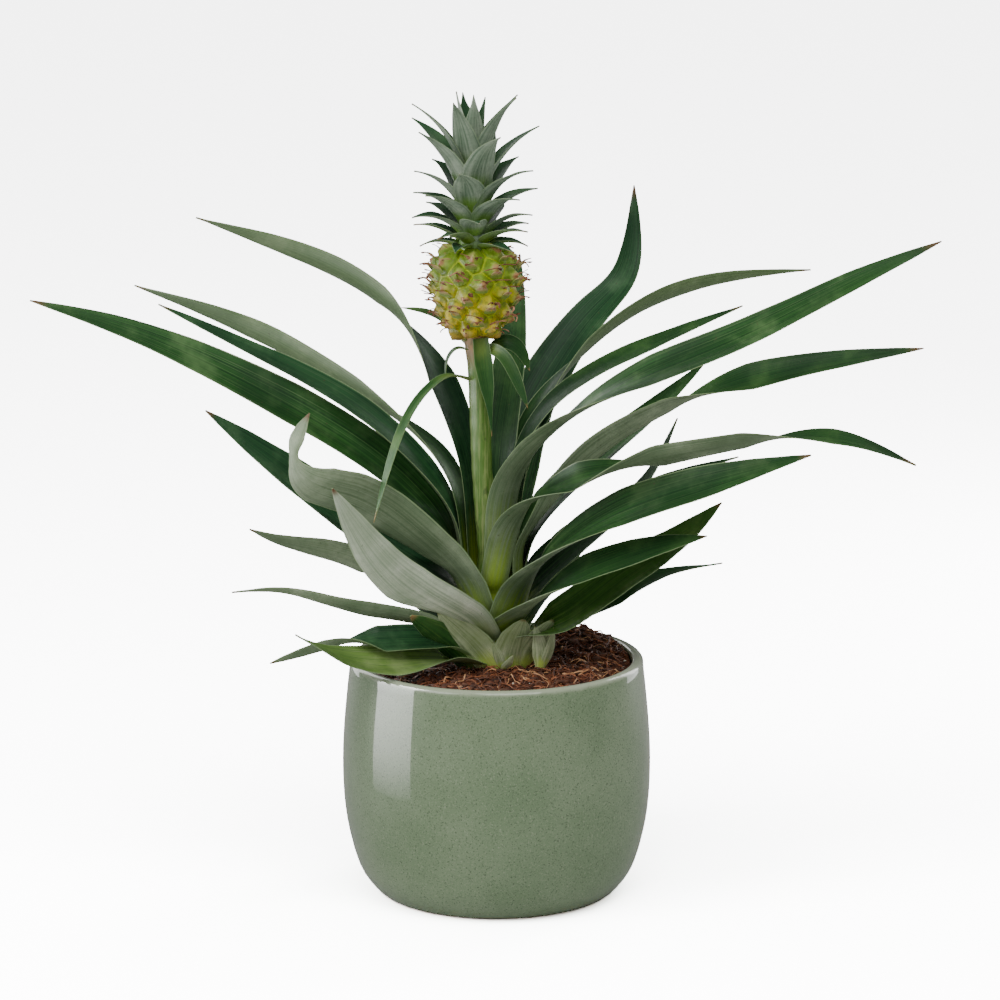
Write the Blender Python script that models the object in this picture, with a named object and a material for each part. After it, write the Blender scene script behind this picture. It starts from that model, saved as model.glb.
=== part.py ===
"""Potted pineapple plant: a glazed pot, its soil, and a fruiting rosette of long leaves.

Design lengths are millimetres and angles are degrees; MM turns lengths into metres where a mesh is
made. The origin is the centre of the pot's flat base, +Z is up and the plant's front faces -Y.
"""
import math
from dataclasses import dataclass

import bpy
import numpy as np

MM = 0.001

# Pot
POT_HEIGHT = 124.8
POT_FOOT_RADIUS = 58.4
POT_WALL = 6.0
POT_FLOOR = 8.0
RIM_RADIUS = 73.2
POT_SEGMENTS = 40
POT_OUTSIDE = (
    (POT_FOOT_RADIUS, 0.0), (64.5, 4.0), (70.4, 12.0), (75.1, 25.2), (78.4, 41.0), (79.9, 58.0),
    (80.0, 76.0), (79.1, 92.0), (77.6, 108.0), (76.1, 120.0),
)

# Soil
FIT_GAP = 0.3
SOIL_EDGE = 119.5
SOIL_CENTRE = 121.0
SOIL_MOUND = 7.5
SOIL_MOUND_AZIMUTH = 45.0
SOIL_MOUND_REACH = 66.0

# Stem: the short thick stock that carries the leaves, and the flower stalk above it
PLANT_X = -2.0
STOCK_FOOT_RADIUS = 13.2
STOCK_TOP_RADIUS = 8.3
STUB_BOTTOM = 98.0
STEM_COURSE = (
    (PLANT_X, 0.0, STUB_BOTTOM, 10.5), (PLANT_X, 0.0, 102.0, STOCK_FOOT_RADIUS),
    (PLANT_X, 0.0, 122.0, STOCK_FOOT_RADIUS), (PLANT_X, 0.0, 171.0, STOCK_TOP_RADIUS),
    (-2.6, 0.0, 175.0, 7.3), (-4.0, 0.0, 183.0, 6.1),
    (-6.0, 0.0, 201.0, 5.8), (-7.7, 0.0, 225.0, 5.7), (-8.4, 0.0, 250.0, 5.8),
    (-9.2, 0.0, 275.0, 6.3), (-10.2, 0.0, 289.7, 7.2),
)
STEM_SEGMENTS = 24

# Fruit
FRUIT_X = -11.0
FRUIT_OUTLINE = (
    (7.5, 290.0), (14.0, 292.4), (19.4, 297.6), (22.6, 305.0), (23.5, 314.0), (22.9, 322.5),
    (20.6, 330.5), (15.8, 336.5), (9.0, 339.0),
)
FRUIT_EYES_ROUND = 8
FRUIT_EYE_ROWS = 5
FRUIT_EYE_HEIGHT = 1.1
FRUIT_SEGMENTS = 32

# Leaf bases: each leaf starts a step higher on the stock than the one before it
FIRST_BASE = 123.0
BASE_STEP = 1.65
LOWEST_BASE_REACH = 14.1
HIGHEST_BASE_REACH = 9.1
LEAF_THICKNESS = 0.9
LEAF_STATIONS = 13
LEAF_COLUMNS = 5
WRAP_LIMIT = 64.0
# The innermost leaves are held narrower at the base, by this share of their width
INNER_BASE_WIDTH = 0.66
# Width and thickness along a leaf, as shares of their greatest values at shares of its length
WIDTH_ALONG = (
    (0, 0.72), (0.12, 0.86), (0.3, 1), (0.5, 0.93), (0.7, 0.72), (0.85, 0.44), (0.95, 0.18), (1, 0.03),
)
THICKNESS_ALONG = ((0, 1), (0.3, 1), (0.8, 0.7), (1, 0.4))
# Half of the channel's arc along a leaf
CHANNEL_ALONG = ((0, 58), (0.25, 40), (0.5, 30), (0.75, 18), (1, 8))

# Crown
CROWN_X = -11.3
CROWN_LEAN = -0.027
CROWN_BASE = 339.3
CROWN_TOP = 386.0
CROWN_LEAVES_ROUND = 5
CROWN_TURN = 31.0
CROWN_LEAF_FOLD = 0.18
CROWN_CORE_SIDES = 12


@dataclass(frozen=True)
class Leaf:
    """A rosette leaf. Its course holds (azimuth, reach, height) points after the base."""

    name: str
    width: float
    base_azimuth: float
    course: tuple
    rolls: tuple = (0,)


@dataclass(frozen=True)
class Blade:
    """A small leaf off the flower stalk or the stock, through (x, y, z) points."""

    name: str
    width: float
    course: tuple
    rolls: tuple = (0,)
    channel: float = 0.8


@dataclass(frozen=True)
class Tier:
    """A ring of crown leaves: height of the ring, its radius, and the leaves' length and lean."""

    height: float
    radius: float
    length: float
    start_lean: float
    end_lean: float
    width: float


LEAVES = (
    Leaf("leaf_01_over_rim", 26, 226,
         ((222, 30, 127), (220, 50, 129.5), (219, 72, 132), (217, 95, 138), (215, 112, 149)),
         (10, -10, -35, -30, 0)),
    Leaf("leaf_02_low_front_left", 20, 218,
         ((216, 30, 135), (213, 64, 141), (209, 91, 142), (205, 125, 134)),
         (0, -30, -35, 60, 80)),
    Leaf("leaf_03_low_back_left", 24, 148, ((146, 30, 137), (143, 60, 151), (140, 92, 161))),
    Leaf("leaf_04_narrow_left", 15, 200,
         ((200, 27, 141), (200, 65, 154), (200, 91, 162), (200, 115, 169), (200, 141, 170)),
         (0, 60, 70, 75, 60)),
    Leaf("leaf_05_narrow_right", 16, 12, ((8, 30, 137), (8, 56, 150), (7, 85, 164), (6, 120, 171)),
         (0, 0, -20, -18, -15)),
    Leaf("leaf_06_low_back_right", 28, 62, ((60, 30, 141), (62, 70, 158), (66, 110, 168), (70, 140, 168))),
    Leaf("leaf_07_broad_right", 28, 333,
         ((335, 24, 140), (337, 42, 149), (339, 70, 172), (342, 95, 190), (345, 121, 213)),
         (0, 20, 45, 45, 60)),
    Leaf("leaf_08_low_back", 28, 100, ((98, 30, 144), (97, 75, 170), (95, 115, 187), (93, 150, 190))),
    Leaf("leaf_09_pale_front", 28, 245,
         ((243, 28, 149), (240, 51, 161), (237, 77, 176), (234, 101, 198), (232, 129, 236)),
         (0, 20, 45, 45, 40)),
    Leaf("leaf_10_short_left", 18, 186,
         ((187, 24, 151), (188, 41, 161), (190, 75, 180), (191, 111, 191), (192, 127, 198)),
         (0, 0, 55, 55, 50)),
    Leaf("leaf_11_low_front_right", 26, 298,
         ((306, 23, 150), (314, 48, 169), (324, 77, 186), (331, 100, 195), (335, 120, 200)),
         (0, 20, 40, 45, 40)),
    Leaf("leaf_12_dark_left", 28, 188,
         ((190, 22, 161), (192, 49, 182), (194, 88, 212), (195, 130, 246), (196, 151, 263)),
         (0, -40, -50, -50, -50)),
    Leaf("leaf_13_low_right", 28, 37, ((35, 28, 158), (34, 70, 185), (32, 110, 205), (30, 150, 214))),
    Leaf("leaf_14_striped_right", 30, 308,
         ((314, 22, 164), (318, 44, 187), (325, 82, 212), (331, 130, 232), (335, 176, 247)),
         (0, 25, 45, 50, 40)),
    Leaf("leaf_15_mid_back", 28, 118, ((118, 28, 164), (118, 65, 186), (118, 105, 205), (116, 150, 214))),
    Leaf("leaf_16_upright_right", 24, 12,
         ((11, 25, 172), (11, 43, 185), (10, 62, 198), (10, 80, 213), (10, 97, 247))),
    Leaf("leaf_17_hooked_left", 32, 221,
         ((217, 21, 173), (216, 33, 186), (214, 56, 206), (211, 84, 223), (208, 108, 230),
          (206, 116, 243), (205, 101, 261)),
         (0, 20, 40, 40, 30)),
    Leaf("leaf_18_mid_back", 28, 80, ((78, 21, 178), (76, 45, 206), (74, 80, 234), (72, 120, 248))),
    Leaf("leaf_19_great_left", 28, 178,
         ((179, 21.5, 184), (179, 33, 202), (181, 61, 229), (184, 114, 264), (186, 178, 297), (188, 236, 318)),
         (0, -35, -45, -40, -40)),
    Leaf("leaf_20_mid_right", 25, 21, ((21, 20, 184), (18, 50, 220), (17, 90, 252), (15, 115, 275)),
         (0, 10, 20, 20, 20)),
    Leaf("leaf_21_upper_left", 24, 171,
         ((173, 19, 192), (174, 32, 217), (175, 66, 251), (178, 115, 281), (180, 171, 310)),
         (0, -10, -18, -18, -20)),
    Leaf("leaf_22_twisted_right", 24, 344,
         ((347, 16, 183), (352, 26, 201), (357, 48, 228), (0, 106, 262), (0, 165, 279), (0, 221, 287)),
         (0, -30, -40, -30, 40, 45, 40)),
    Leaf("leaf_23_tall_right", 27, 76,
         ((70, 17, 190), (66, 27, 226), (62, 66, 265), (57, 100, 292), (54, 120, 310), (52, 121, 356)),
         (0, 10, 20, 20, 30)),
    Leaf("leaf_24_front_right", 24, 273,
         ((283, 15.5, 181), (295, 22.5, 200), (312, 44, 219), (326, 90, 237), (335, 130, 247),
          (341, 180, 253), (345, 221, 238)),
         (0, 10, 45, -35, -35, 30, 35)),
    Leaf("leaf_25_pale_left", 22, 148,
         ((147, 17.4, 192), (147, 28, 221), (150, 73, 252), (159, 130, 286), (167, 191, 312)),
         (0, 0, 40, 55, 40)),
    Leaf("leaf_26_pale_right", 22, 48,
         ((46, 14.6, 190), (46, 23, 231), (43, 52, 267), (38, 100, 297), (33, 144, 309), (28, 190, 312)),
         (0, 0, -45, -50, -40)),
    Leaf("leaf_27_high_left", 24, 134,
         ((130, 14.6, 192), (133, 18, 222), (139, 29, 252), (147, 64, 302), (156, 110, 329), (165, 159, 348)),
         (0, 0, 0, 50, 55, 50)),
    Leaf("leaf_28_great_right", 28, 283,
         ((288, 13.4, 192), (296, 17, 217), (308, 30, 237), (322, 75, 272), (333, 138, 304),
          (340, 190, 333), (345, 232, 353)),
         (0, 0, 40, 45, 60)),
    Leaf("leaf_29_behind_fruit", 22, 86,
         ((84, 11.6, 192), (82, 15.5, 228), (80, 43, 262), (80, 70, 292), (80, 82, 322))),
    Leaf("leaf_30_inner_right", 20, 4,
         ((8, 10.2, 192), (10, 12.5, 224), (14, 34, 258), (13, 85, 286), (10, 131, 305)),
         (0, 0, 5, 20, 20)),
)

BLADES = (
    Blade("stalk_bract_front", 8.0, ((-7, -7.5, 288.5), (-6, -8.6, 278), (-4, -10, 259), (-2, -10, 243))),
    Blade("stalk_bract_left", 4.5, ((-15.6, -5.4, 287.5), (-20.5, -9, 288.5), (-25, -9, 283), (-26, -9, 273))),
    Blade("stalk_bract_long", 6.5,
          ((-14.4, -5, 271.5), (-25, -14, 275), (-39, -26, 266), (-51, -40, 245), (-62, -55, 208))),
    Blade("stalk_bract_right", 5.0, ((-4.2, -5.2, 288), (3, -10, 286), (10, -11, 274), (16, -11, 258))),
    Blade("stalk_bract_back", 6.5, ((-2.7, 3.8, 285), (4, 5, 289), (11, 6, 286), (17, 6, 274))),
    Blade("stalk_bract_far_left", 5.0, ((-16.4, 4, 285), (-26, 8, 288), (-37, 9, 299), (-48, 8, 306))),
    Blade("base_shoot_right", 8.0, ((22.5, -17, 122), (23.5, -17.5, 130), (22, -18, 140))),
    Blade("base_shoot_front", 7.0, ((2.5, -15.5, 121.7), (1, -17, 128), (-2, -18.5, 135))),
)

TIERS = (
    Tier(339.6, 8.6, 27, 62, 98, 11.0),
    Tier(343.6, 8.0, 30, 48, 96, 12.0),
    Tier(348.2, 7.5, 33, 36, 90, 13.0),
    Tier(353.4, 7.0, 36, 28, 82, 13.0),
    Tier(359.0, 6.5, 39, 22, 74, 12.5),
    Tier(365.0, 6.0, 42, 16, 64, 12.0),
    Tier(371.4, 5.3, 44, 10, 50, 11.5),
    Tier(378.4, 4.5, 40, 4, 20, 10.0),
)


def along(table, share):
    """Read a value at a share of the length from a table of (share, value) pairs."""
    shares, values = zip(*table)
    return float(np.interp(share, shares, values))


def smooth_step(low, high, value):
    """Go smoothly from 0 at low to 1 at high; low may be the greater of the two."""
    share = min(max((value - low) / (high - low), 0.0), 1.0)
    return share * share * (3 - 2 * share)


def smooth_course(points, count):
    """Return count points, evenly spaced along a natural cubic spline through the given points."""
    points = np.array(points, float)
    knots = np.concatenate(([0], np.cumsum(np.linalg.norm(np.diff(points, axis=0), axis=1) ** 0.5)))
    steps = np.diff(knots)
    system = np.eye(len(points))
    right = np.zeros_like(points)
    for i in range(1, len(points) - 1):
        system[i, i - 1:i + 2] = steps[i - 1], 2 * (steps[i - 1] + steps[i]), steps[i]
        right[i] = 6 * ((points[i + 1] - points[i]) / steps[i] - (points[i] - points[i - 1]) / steps[i - 1])
    bends = np.linalg.solve(system, right)

    dense = []
    for knot in np.linspace(0, knots[-1], 200):
        i = min(int(np.searchsorted(knots, knot, side="right")) - 1, len(steps) - 1)
        after, before = knot - knots[i], knots[i + 1] - knot
        dense.append(
            (bends[i] * before ** 3 + bends[i + 1] * after ** 3) / (6 * steps[i])
            + (points[i] / steps[i] - bends[i] * steps[i] / 6) * before
            + (points[i + 1] / steps[i] - bends[i + 1] * steps[i] / 6) * after
        )
    dense = np.array(dense)
    lengths = np.concatenate(([0], np.cumsum(np.linalg.norm(np.diff(dense, axis=0), axis=1))))
    even = np.linspace(0, lengths[-1], count)
    return np.stack([np.interp(even, lengths, dense[:, axis]) for axis in range(3)], axis=1)


def channel_section(centre, tangent, across, width, half_arc, roll, columns):
    """Points of one cross-section: an arc that opens upwards, turned about the leaf's length."""
    across = across - tangent * np.dot(across, tangent)
    across /= np.linalg.norm(across)
    upper = np.cross(tangent, across)
    turn = math.radians(roll)
    across, upper = (
        across * math.cos(turn) + upper * math.sin(turn),
        upper * math.cos(turn) - across * math.sin(turn),
    )
    arc = math.radians(half_arc)
    radius = width / (2 * arc)
    angles = arc * np.linspace(-1, 1, columns)
    return centre + np.outer(radius * np.sin(angles), across) + np.outer(radius * (1 - np.cos(angles)), upper)


def wrapped_section(centre, width, columns):
    """Points of one cross-section that clasps the stock: an arc about the plant's axis."""
    offset = centre[:2] - (PLANT_X, 0)
    reach = max(math.hypot(*offset), 6.0)
    half = min(width / (2 * reach), math.radians(WRAP_LIMIT))
    angles = math.atan2(offset[1], offset[0]) + half * np.linspace(-1, 1, columns)
    return np.stack(
        [PLANT_X + reach * np.cos(angles), reach * np.sin(angles), np.full(columns, centre[2])], axis=1
    )


def leaf_course(leaf, place):
    """Return a leaf's points in x, y, z: two at its base by its place on the stock, then its own."""
    base = FIRST_BASE + BASE_STEP * place
    reach = float(np.interp(place, (0, len(LEAVES) - 1), (LOWEST_BASE_REACH, HIGHEST_BASE_REACH)))
    flare = float(np.interp(place, (0, 12, 20, 29), (3.8, 5.0, 5.0, 1.0)))
    climb = float(np.interp(place, (0, 15), (0.3, 1.6)))
    polar = (
        (leaf.base_azimuth, reach, base),
        (leaf.base_azimuth, reach + flare, base + flare * climb),
        *leaf.course,
    )
    return [
        (PLANT_X + reach * math.cos(math.radians(azimuth)), reach * math.sin(math.radians(azimuth)), height)
        for azimuth, reach, height in polar
    ]


def leaf_sheet(leaf, place):
    """Return the grid of points of a rosette leaf's middle surface."""
    course = smooth_course(leaf_course(leaf, place), LEAF_STATIONS)
    tangents = np.gradient(course, axis=0)
    rows = []
    for i, centre in enumerate(course):
        share = i / (LEAF_STATIONS - 1)
        tangent = tangents[i] / np.linalg.norm(tangents[i])
        offset = centre[:2] - (PLANT_X, 0)
        reach = math.hypot(*offset)
        across = np.array((-offset[1], offset[0], 0.0)) / reach
        clasp = 1 + (INNER_BASE_WIDTH - 1) * smooth_step(16, 26, place) * smooth_step(0.4, 0.2, share)
        width = leaf.width * along(WIDTH_ALONG, share) * clasp
        roll = float(np.interp(share, np.linspace(0, 1, len(leaf.rolls)), leaf.rolls))
        free = max(smooth_step(14, 36, reach), smooth_step(0.3, 0.5, share))
        open_row = channel_section(
            centre, tangent, across, width, along(CHANNEL_ALONG, share), roll, LEAF_COLUMNS
        )
        rows.append(wrapped_section(centre, width, LEAF_COLUMNS) * (1 - free) + open_row * free)
    return np.array(rows)


def blade_sheet(blade, stations=8, columns=3):
    """Return the grid of points of a small leaf's middle surface."""
    course = smooth_course(blade.course, stations)
    tangents = np.gradient(course, axis=0)
    stalk = np.array((blade.course[0][0], blade.course[0][1], 0.0))
    outward = course[-1] * (1, 1, 0) - stalk
    across = np.array((-outward[1], outward[0], 0.0)) / np.linalg.norm(outward)
    rows = []
    for i, centre in enumerate(course):
        share = i / (stations - 1)
        roll = float(np.interp(share, np.linspace(0, 1, len(blade.rolls)), blade.rolls))
        rows.append(channel_section(
            centre, tangents[i] / np.linalg.norm(tangents[i]), across,
            blade.width * along(WIDTH_ALONG, share), along(CHANNEL_ALONG, share) * blade.channel, roll, columns,
        ))
    return np.array(rows)


def thicken(sheet, thickness):
    """Make a closed leaf of a sheet: full along its middle and sharp along both edges."""
    stations, columns = sheet.shape[:2]
    normals = np.cross(np.gradient(sheet, axis=0), np.gradient(sheet, axis=1))
    normals /= np.linalg.norm(normals, axis=2, keepdims=True)
    lens = np.sqrt(np.clip(1 - np.linspace(-1, 1, columns) ** 2, 0, 1))
    depth = np.array([thickness * along(THICKNESS_ALONG, i / (stations - 1)) for i in range(stations)])
    half = (depth[:, None] * lens[None, :] / 2)[:, :, None] * normals

    points = [*(sheet + half).reshape(-1, 3)]
    upper = np.arange(stations * columns).reshape(stations, columns)
    lower = upper.copy()
    for i in range(stations):
        for j in range(1, columns - 1):
            lower[i, j] = len(points)
            points.append(sheet[i, j] - half[i, j])
    faces = []
    for i in range(stations - 1):
        for j in range(columns - 1):
            faces.append((upper[i, j], upper[i + 1, j], upper[i + 1, j + 1], upper[i, j + 1]))
            faces.append((lower[i, j], lower[i, j + 1], lower[i + 1, j + 1], lower[i + 1, j]))
    for i, end in ((0, 1), (stations - 1, -1)):
        ring = [*upper[i], *lower[i, 1:-1][::-1]]
        faces.append(tuple(ring[::end]))
    return points, faces


def lathe(outline, segments, centre=(0.0, 0.0)):
    """Turn a closed or capped outline of (radius, height) pairs about a vertical axis."""
    points = []
    for radius, height in outline:
        for k in range(segments):
            angle = 2 * math.pi * k / segments
            points.append((centre[0] + radius * math.cos(angle), centre[1] + radius * math.sin(angle), height))
    return points, ring_faces(len(outline), segments)


def ring_faces(rings, segments):
    """Faces between stacked rings of points, with the first and last ring filled."""
    faces = []
    for i in range(rings - 1):
        for k in range(segments):
            n = (k + 1) % segments
            faces.append((i * segments + k, i * segments + n, (i + 1) * segments + n, (i + 1) * segments + k))
    faces.append(tuple(reversed(range(segments))))
    faces.append(tuple(range((rings - 1) * segments, rings * segments)))
    return faces


def finish(name, points, faces, material):
    """Make the named object of one sub-part from its points and faces."""
    mesh = bpy.data.meshes.new(name)
    mesh.from_pydata([tuple(float(v) * MM for v in point) for point in points], [], [
        tuple(int(v) for v in face) for face in faces
    ])
    mesh.materials.append(material)
    mesh.shade_smooth()
    mesh.set_sharp_from_angle(angle=math.radians(40))
    mesh.validate()
    piece = bpy.data.objects.new(name, mesh)
    bpy.context.scene.collection.objects.link(piece)
    return piece


def plain_material(name, colour, roughness, coat=0.0):
    """A Principled material with one colour."""
    material = bpy.data.materials.new(name)
    material.use_nodes = True
    shader = material.node_tree.nodes["Principled BSDF"]
    shader.inputs["Base Color"].default_value = (*colour, 1)
    shader.inputs["Roughness"].default_value = roughness
    shader.inputs["Metallic"].default_value = 0.0
    shader.inputs["Coat Weight"].default_value = coat
    return material


def pot_wall_radius(height):
    """The pot's outer radius at a height."""
    radii, heights = zip(*POT_OUTSIDE)
    return float(np.interp(height, heights, radii))


def make_pot(material):
    """The glazed pot: one turned wall with a rounded rim and a thick floor."""
    crest = [(RIM_RADIUS + 3.0 * math.cos(math.radians(a)), POT_HEIGHT - 3.0 + 3.0 * math.sin(math.radians(a)))
             for a in (30, 60, 90, 120, 150)]
    inside = [(radius - POT_WALL, height) for radius, height in reversed(POT_OUTSIDE) if height > POT_FLOOR + 6]
    corner = [(66.0, POT_FLOOR + 3.5), (60.0, POT_FLOOR)]
    outline = [*POT_OUTSIDE, *crest, *inside, *corner]
    return finish("pot", *lathe(outline, POT_SEGMENTS), material)


def make_soil(material):
    """The soil: a plug that follows the pot's inside, heaped at one side, with a hole for the stock."""
    inside = [(radius - POT_WALL - FIT_GAP, height) for radius, height in POT_OUTSIDE
              if POT_FLOOR + 6 < height < SOIL_EDGE - 4]
    edge_radius = pot_wall_radius(SOIL_EDGE) - POT_WALL - FIT_GAP
    hole = STOCK_FOOT_RADIUS + FIT_GAP
    sides = [(59.5, POT_FLOOR + FIT_GAP), (65.4, POT_FLOOR + FIT_GAP + 3.8), *inside, (edge_radius, SOIL_EDGE)]
    top = [(reach, SOIL_CENTRE - 1.5 * smooth_step(52, edge_radius, reach)) for reach in (62, 52, 40, 27)]
    socket = [(hole + 0.4, SOIL_CENTRE), (hole, SOIL_CENTRE - 1), (hole, STUB_BOTTOM - FIT_GAP)]
    first_top, last_top = len(sides) * POT_SEGMENTS, (len(sides) + len(top)) * POT_SEGMENTS
    points, faces = lathe([*sides, *top, *socket], POT_SEGMENTS)
    heap = math.radians(SOIL_MOUND_AZIMUTH)
    for n, (x, y, z) in enumerate(points):
        if first_top <= n < last_top:
            away = math.hypot(x - SOIL_MOUND_REACH * math.cos(heap), y - SOIL_MOUND_REACH * math.sin(heap))
            points[n] = (x, y, z + SOIL_MOUND * math.exp(-(away / 34) ** 2))
        elif n >= last_top:
            points[n] = (x + PLANT_X, y, z)
    return finish("soil", points, faces, material)


def make_stem(material):
    """The stock and the flower stalk as one stem, with its foot in the soil."""
    points = []
    for x, y, height, radius in STEM_COURSE:
        for k in range(STEM_SEGMENTS):
            angle = 2 * math.pi * k / STEM_SEGMENTS
            points.append((x + radius * math.cos(angle), y + radius * math.sin(angle), height))
    return finish("stem", points, ring_faces(len(STEM_COURSE), STEM_SEGMENTS), material)


def make_fruit(material):
    """The fruit: a barrel whose skin swells into crossing rows of eyes."""
    radii, heights = zip(*FRUIT_OUTLINE)
    points = []
    for height in heights:
        radius = float(np.interp(height, heights, radii))
        rise = (height - heights[0]) / (heights[-1] - heights[0])
        swell = math.sin(math.pi * rise)
        for k in range(FRUIT_SEGMENTS):
            angle = 2 * math.pi * k / FRUIT_SEGMENTS
            rows = math.pi * FRUIT_EYE_ROWS * rise
            eyes = math.cos(FRUIT_EYES_ROUND / 2 * angle + rows) * math.cos(FRUIT_EYES_ROUND / 2 * angle - rows)
            reach = radius + FRUIT_EYE_HEIGHT * swell * eyes
            points.append((FRUIT_X + reach * math.cos(angle), reach * math.sin(angle), height))
    return finish("fruit", points, ring_faces(len(heights), FRUIT_SEGMENTS), material)


def crown_axis(height):
    """Where the crown's own axis passes at a height."""
    return CROWN_X + CROWN_LEAN * (height - CROWN_BASE)


def make_crown_core(material):
    """The crown's short stem, which its leaf rings sit round."""
    points = []
    outline = [(tier.radius - 1.1, tier.height - 0.3) for tier in TIERS]
    outline = [(outline[0][0], CROWN_BASE), *outline[1:], (2.0, CROWN_TOP)]
    for radius, height in outline:
        for k in range(CROWN_CORE_SIDES):
            angle = 2 * math.pi * k / CROWN_CORE_SIDES
            points.append((crown_axis(height) + radius * math.cos(angle), radius * math.sin(angle), height))
    return finish("crown_core", points, ring_faces(len(outline), CROWN_CORE_SIDES), material)


def make_crown_tier(name, tier, turn, material, rows=5, thickness=0.8):
    """A ring of crown leaves, joined at their bases and free above them."""
    share = np.linspace(0, 1, rows)
    lean = np.radians(tier.start_lean + (tier.end_lean - tier.start_lean) * share)
    step = tier.length / (rows - 1)
    reach = tier.radius + np.concatenate(([0], np.cumsum(np.sin(lean[:-1]) * step)))
    rise = np.concatenate(([0], np.cumsum(np.cos(lean[:-1]) * step)))
    widths = np.interp(share, (0, 0.4, 0.8, 1), (1, 0.85, 0.4, 0.06)) * tier.width
    points, faces = [], []
    rim = {}

    def vertex(leaf, row, side, layer):
        """Index of a point; the first two rows share their edge points between neighbours."""
        shared = row < 2 and side == 1
        key = ((leaf + 1) % CROWN_LEAVES_ROUND, row, -1, layer) if shared else (leaf, row, side, layer)
        if key not in rim:
            leaf_n, row_n, side_n, layer_n = key
            middle = math.radians(turn + 360 / CROWN_LEAVES_ROUND * leaf_n)
            out = layer_n * thickness / 2
            if row_n < 2:
                angle = middle + side_n * math.pi / CROWN_LEAVES_ROUND
                distance = reach[row_n] + out
                spot = (distance * math.cos(angle), distance * math.sin(angle), rise[row_n])
            else:
                sideways = side_n * widths[row_n] / 2
                out -= CROWN_LEAF_FOLD * abs(sideways)
                distance = reach[row_n] + out * math.cos(lean[row_n])
                spot = (
                    distance * math.cos(middle) - sideways * math.sin(middle),
                    distance * math.sin(middle) + sideways * math.cos(middle),
                    rise[row_n] - out * math.sin(lean[row_n]),
                )
            rim[key] = len(points)
            points.append((spot[0] + crown_axis(tier.height), spot[1], spot[2] + tier.height))
        return rim[key]

    def quad(corners, outwards):
        """Add a face, turned the right way."""
        faces.append(tuple(corners if outwards else reversed(corners)))

    for leaf in range(CROWN_LEAVES_ROUND):
        for row in range(rows - 1):
            for side in (-1, 0):
                for layer, outwards in ((1, True), (-1, False)):
                    quad([vertex(leaf, row, side, layer), vertex(leaf, row, side + 1, layer),
                          vertex(leaf, row + 1, side + 1, layer), vertex(leaf, row + 1, side, layer)], outwards)
            if row >= 1:
                for side, outwards in ((1, True), (-1, False)):
                    quad([vertex(leaf, row, side, 1), vertex(leaf, row, side, -1),
                          vertex(leaf, row + 1, side, -1), vertex(leaf, row + 1, side, 1)], outwards)
        for side in (-1, 0):
            quad([vertex(leaf, 0, side, 1), vertex(leaf, 0, side + 1, 1),
                  vertex(leaf, 0, side + 1, -1), vertex(leaf, 0, side, -1)], False)
            quad([vertex(leaf, rows - 1, side, 1), vertex(leaf, rows - 1, side + 1, 1),
                  vertex(leaf, rows - 1, side + 1, -1), vertex(leaf, rows - 1, side, -1)], True)
    return finish(name, points, faces, material)


def build():
    """Make every sub-part of the potted plant."""
    for old in list(bpy.data.objects):
        bpy.data.objects.remove(old, do_unlink=True)

    glaze = plain_material("sage_glaze", (0.19, 0.24, 0.15), 0.12, 1.0)
    earth = plain_material("potting_soil", (0.045, 0.022, 0.014), 0.95)
    leaf_green = plain_material("leaf_green", (0.03, 0.10, 0.035), 0.4)
    stalk_green = plain_material("stalk_green", (0.11, 0.19, 0.06), 0.5)
    fruit_skin = plain_material("fruit_skin", (0.33, 0.34, 0.06), 0.45)
    crown_green = plain_material("crown_green", (0.13, 0.20, 0.13), 0.5)

    make_pot(glaze)
    make_soil(earth)
    make_stem(stalk_green)
    make_fruit(fruit_skin)
    make_crown_core(crown_green)
    for number, tier in enumerate(TIERS):
        make_crown_tier(f"crown_tier_{number + 1}", tier, CROWN_TURN * number, crown_green)
    for place, leaf in enumerate(LEAVES):
        finish(leaf.name, *thicken(leaf_sheet(leaf, place), LEAF_THICKNESS), leaf_green)
    for blade in BLADES:
        finish(blade.name, *thicken(blade_sheet(blade), LEAF_THICKNESS * 0.8), leaf_green)


build()
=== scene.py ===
"""Looks of the potted pineapple plant: glazed pot, soil, leaf rosette, flower stalk, fruit and crown.

Design lengths are millimetres and angles are degrees; MM turns lengths into metres where a mesh is made.
"""

import logging
import math
import random
from dataclasses import dataclass, field
from enum import Enum
from typing import Any, Iterable, Iterator, Sequence

import bpy
import numpy as np
from mathutils import Euler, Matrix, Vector, noise


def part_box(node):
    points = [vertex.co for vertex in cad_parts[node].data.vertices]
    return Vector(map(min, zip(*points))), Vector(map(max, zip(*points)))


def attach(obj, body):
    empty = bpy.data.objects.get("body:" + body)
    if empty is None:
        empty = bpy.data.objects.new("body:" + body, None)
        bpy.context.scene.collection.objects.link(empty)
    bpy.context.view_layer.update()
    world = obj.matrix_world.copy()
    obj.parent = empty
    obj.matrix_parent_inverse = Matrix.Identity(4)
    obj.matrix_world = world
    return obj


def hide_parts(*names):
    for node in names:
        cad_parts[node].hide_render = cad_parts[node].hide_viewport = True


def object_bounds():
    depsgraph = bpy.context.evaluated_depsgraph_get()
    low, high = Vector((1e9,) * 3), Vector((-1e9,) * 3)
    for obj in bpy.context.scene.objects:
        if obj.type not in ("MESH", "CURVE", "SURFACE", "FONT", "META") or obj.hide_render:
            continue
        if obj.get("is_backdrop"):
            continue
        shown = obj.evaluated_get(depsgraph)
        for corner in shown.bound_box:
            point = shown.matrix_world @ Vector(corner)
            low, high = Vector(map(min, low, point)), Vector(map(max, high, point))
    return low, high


MM = 0.001
GOLDEN_ANGLE = 137.508
PLANT_X = -2.0

Point = tuple[float, ...]
Colour = tuple[float, float, float]
log = logging.getLogger("potted_pineapple")

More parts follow.
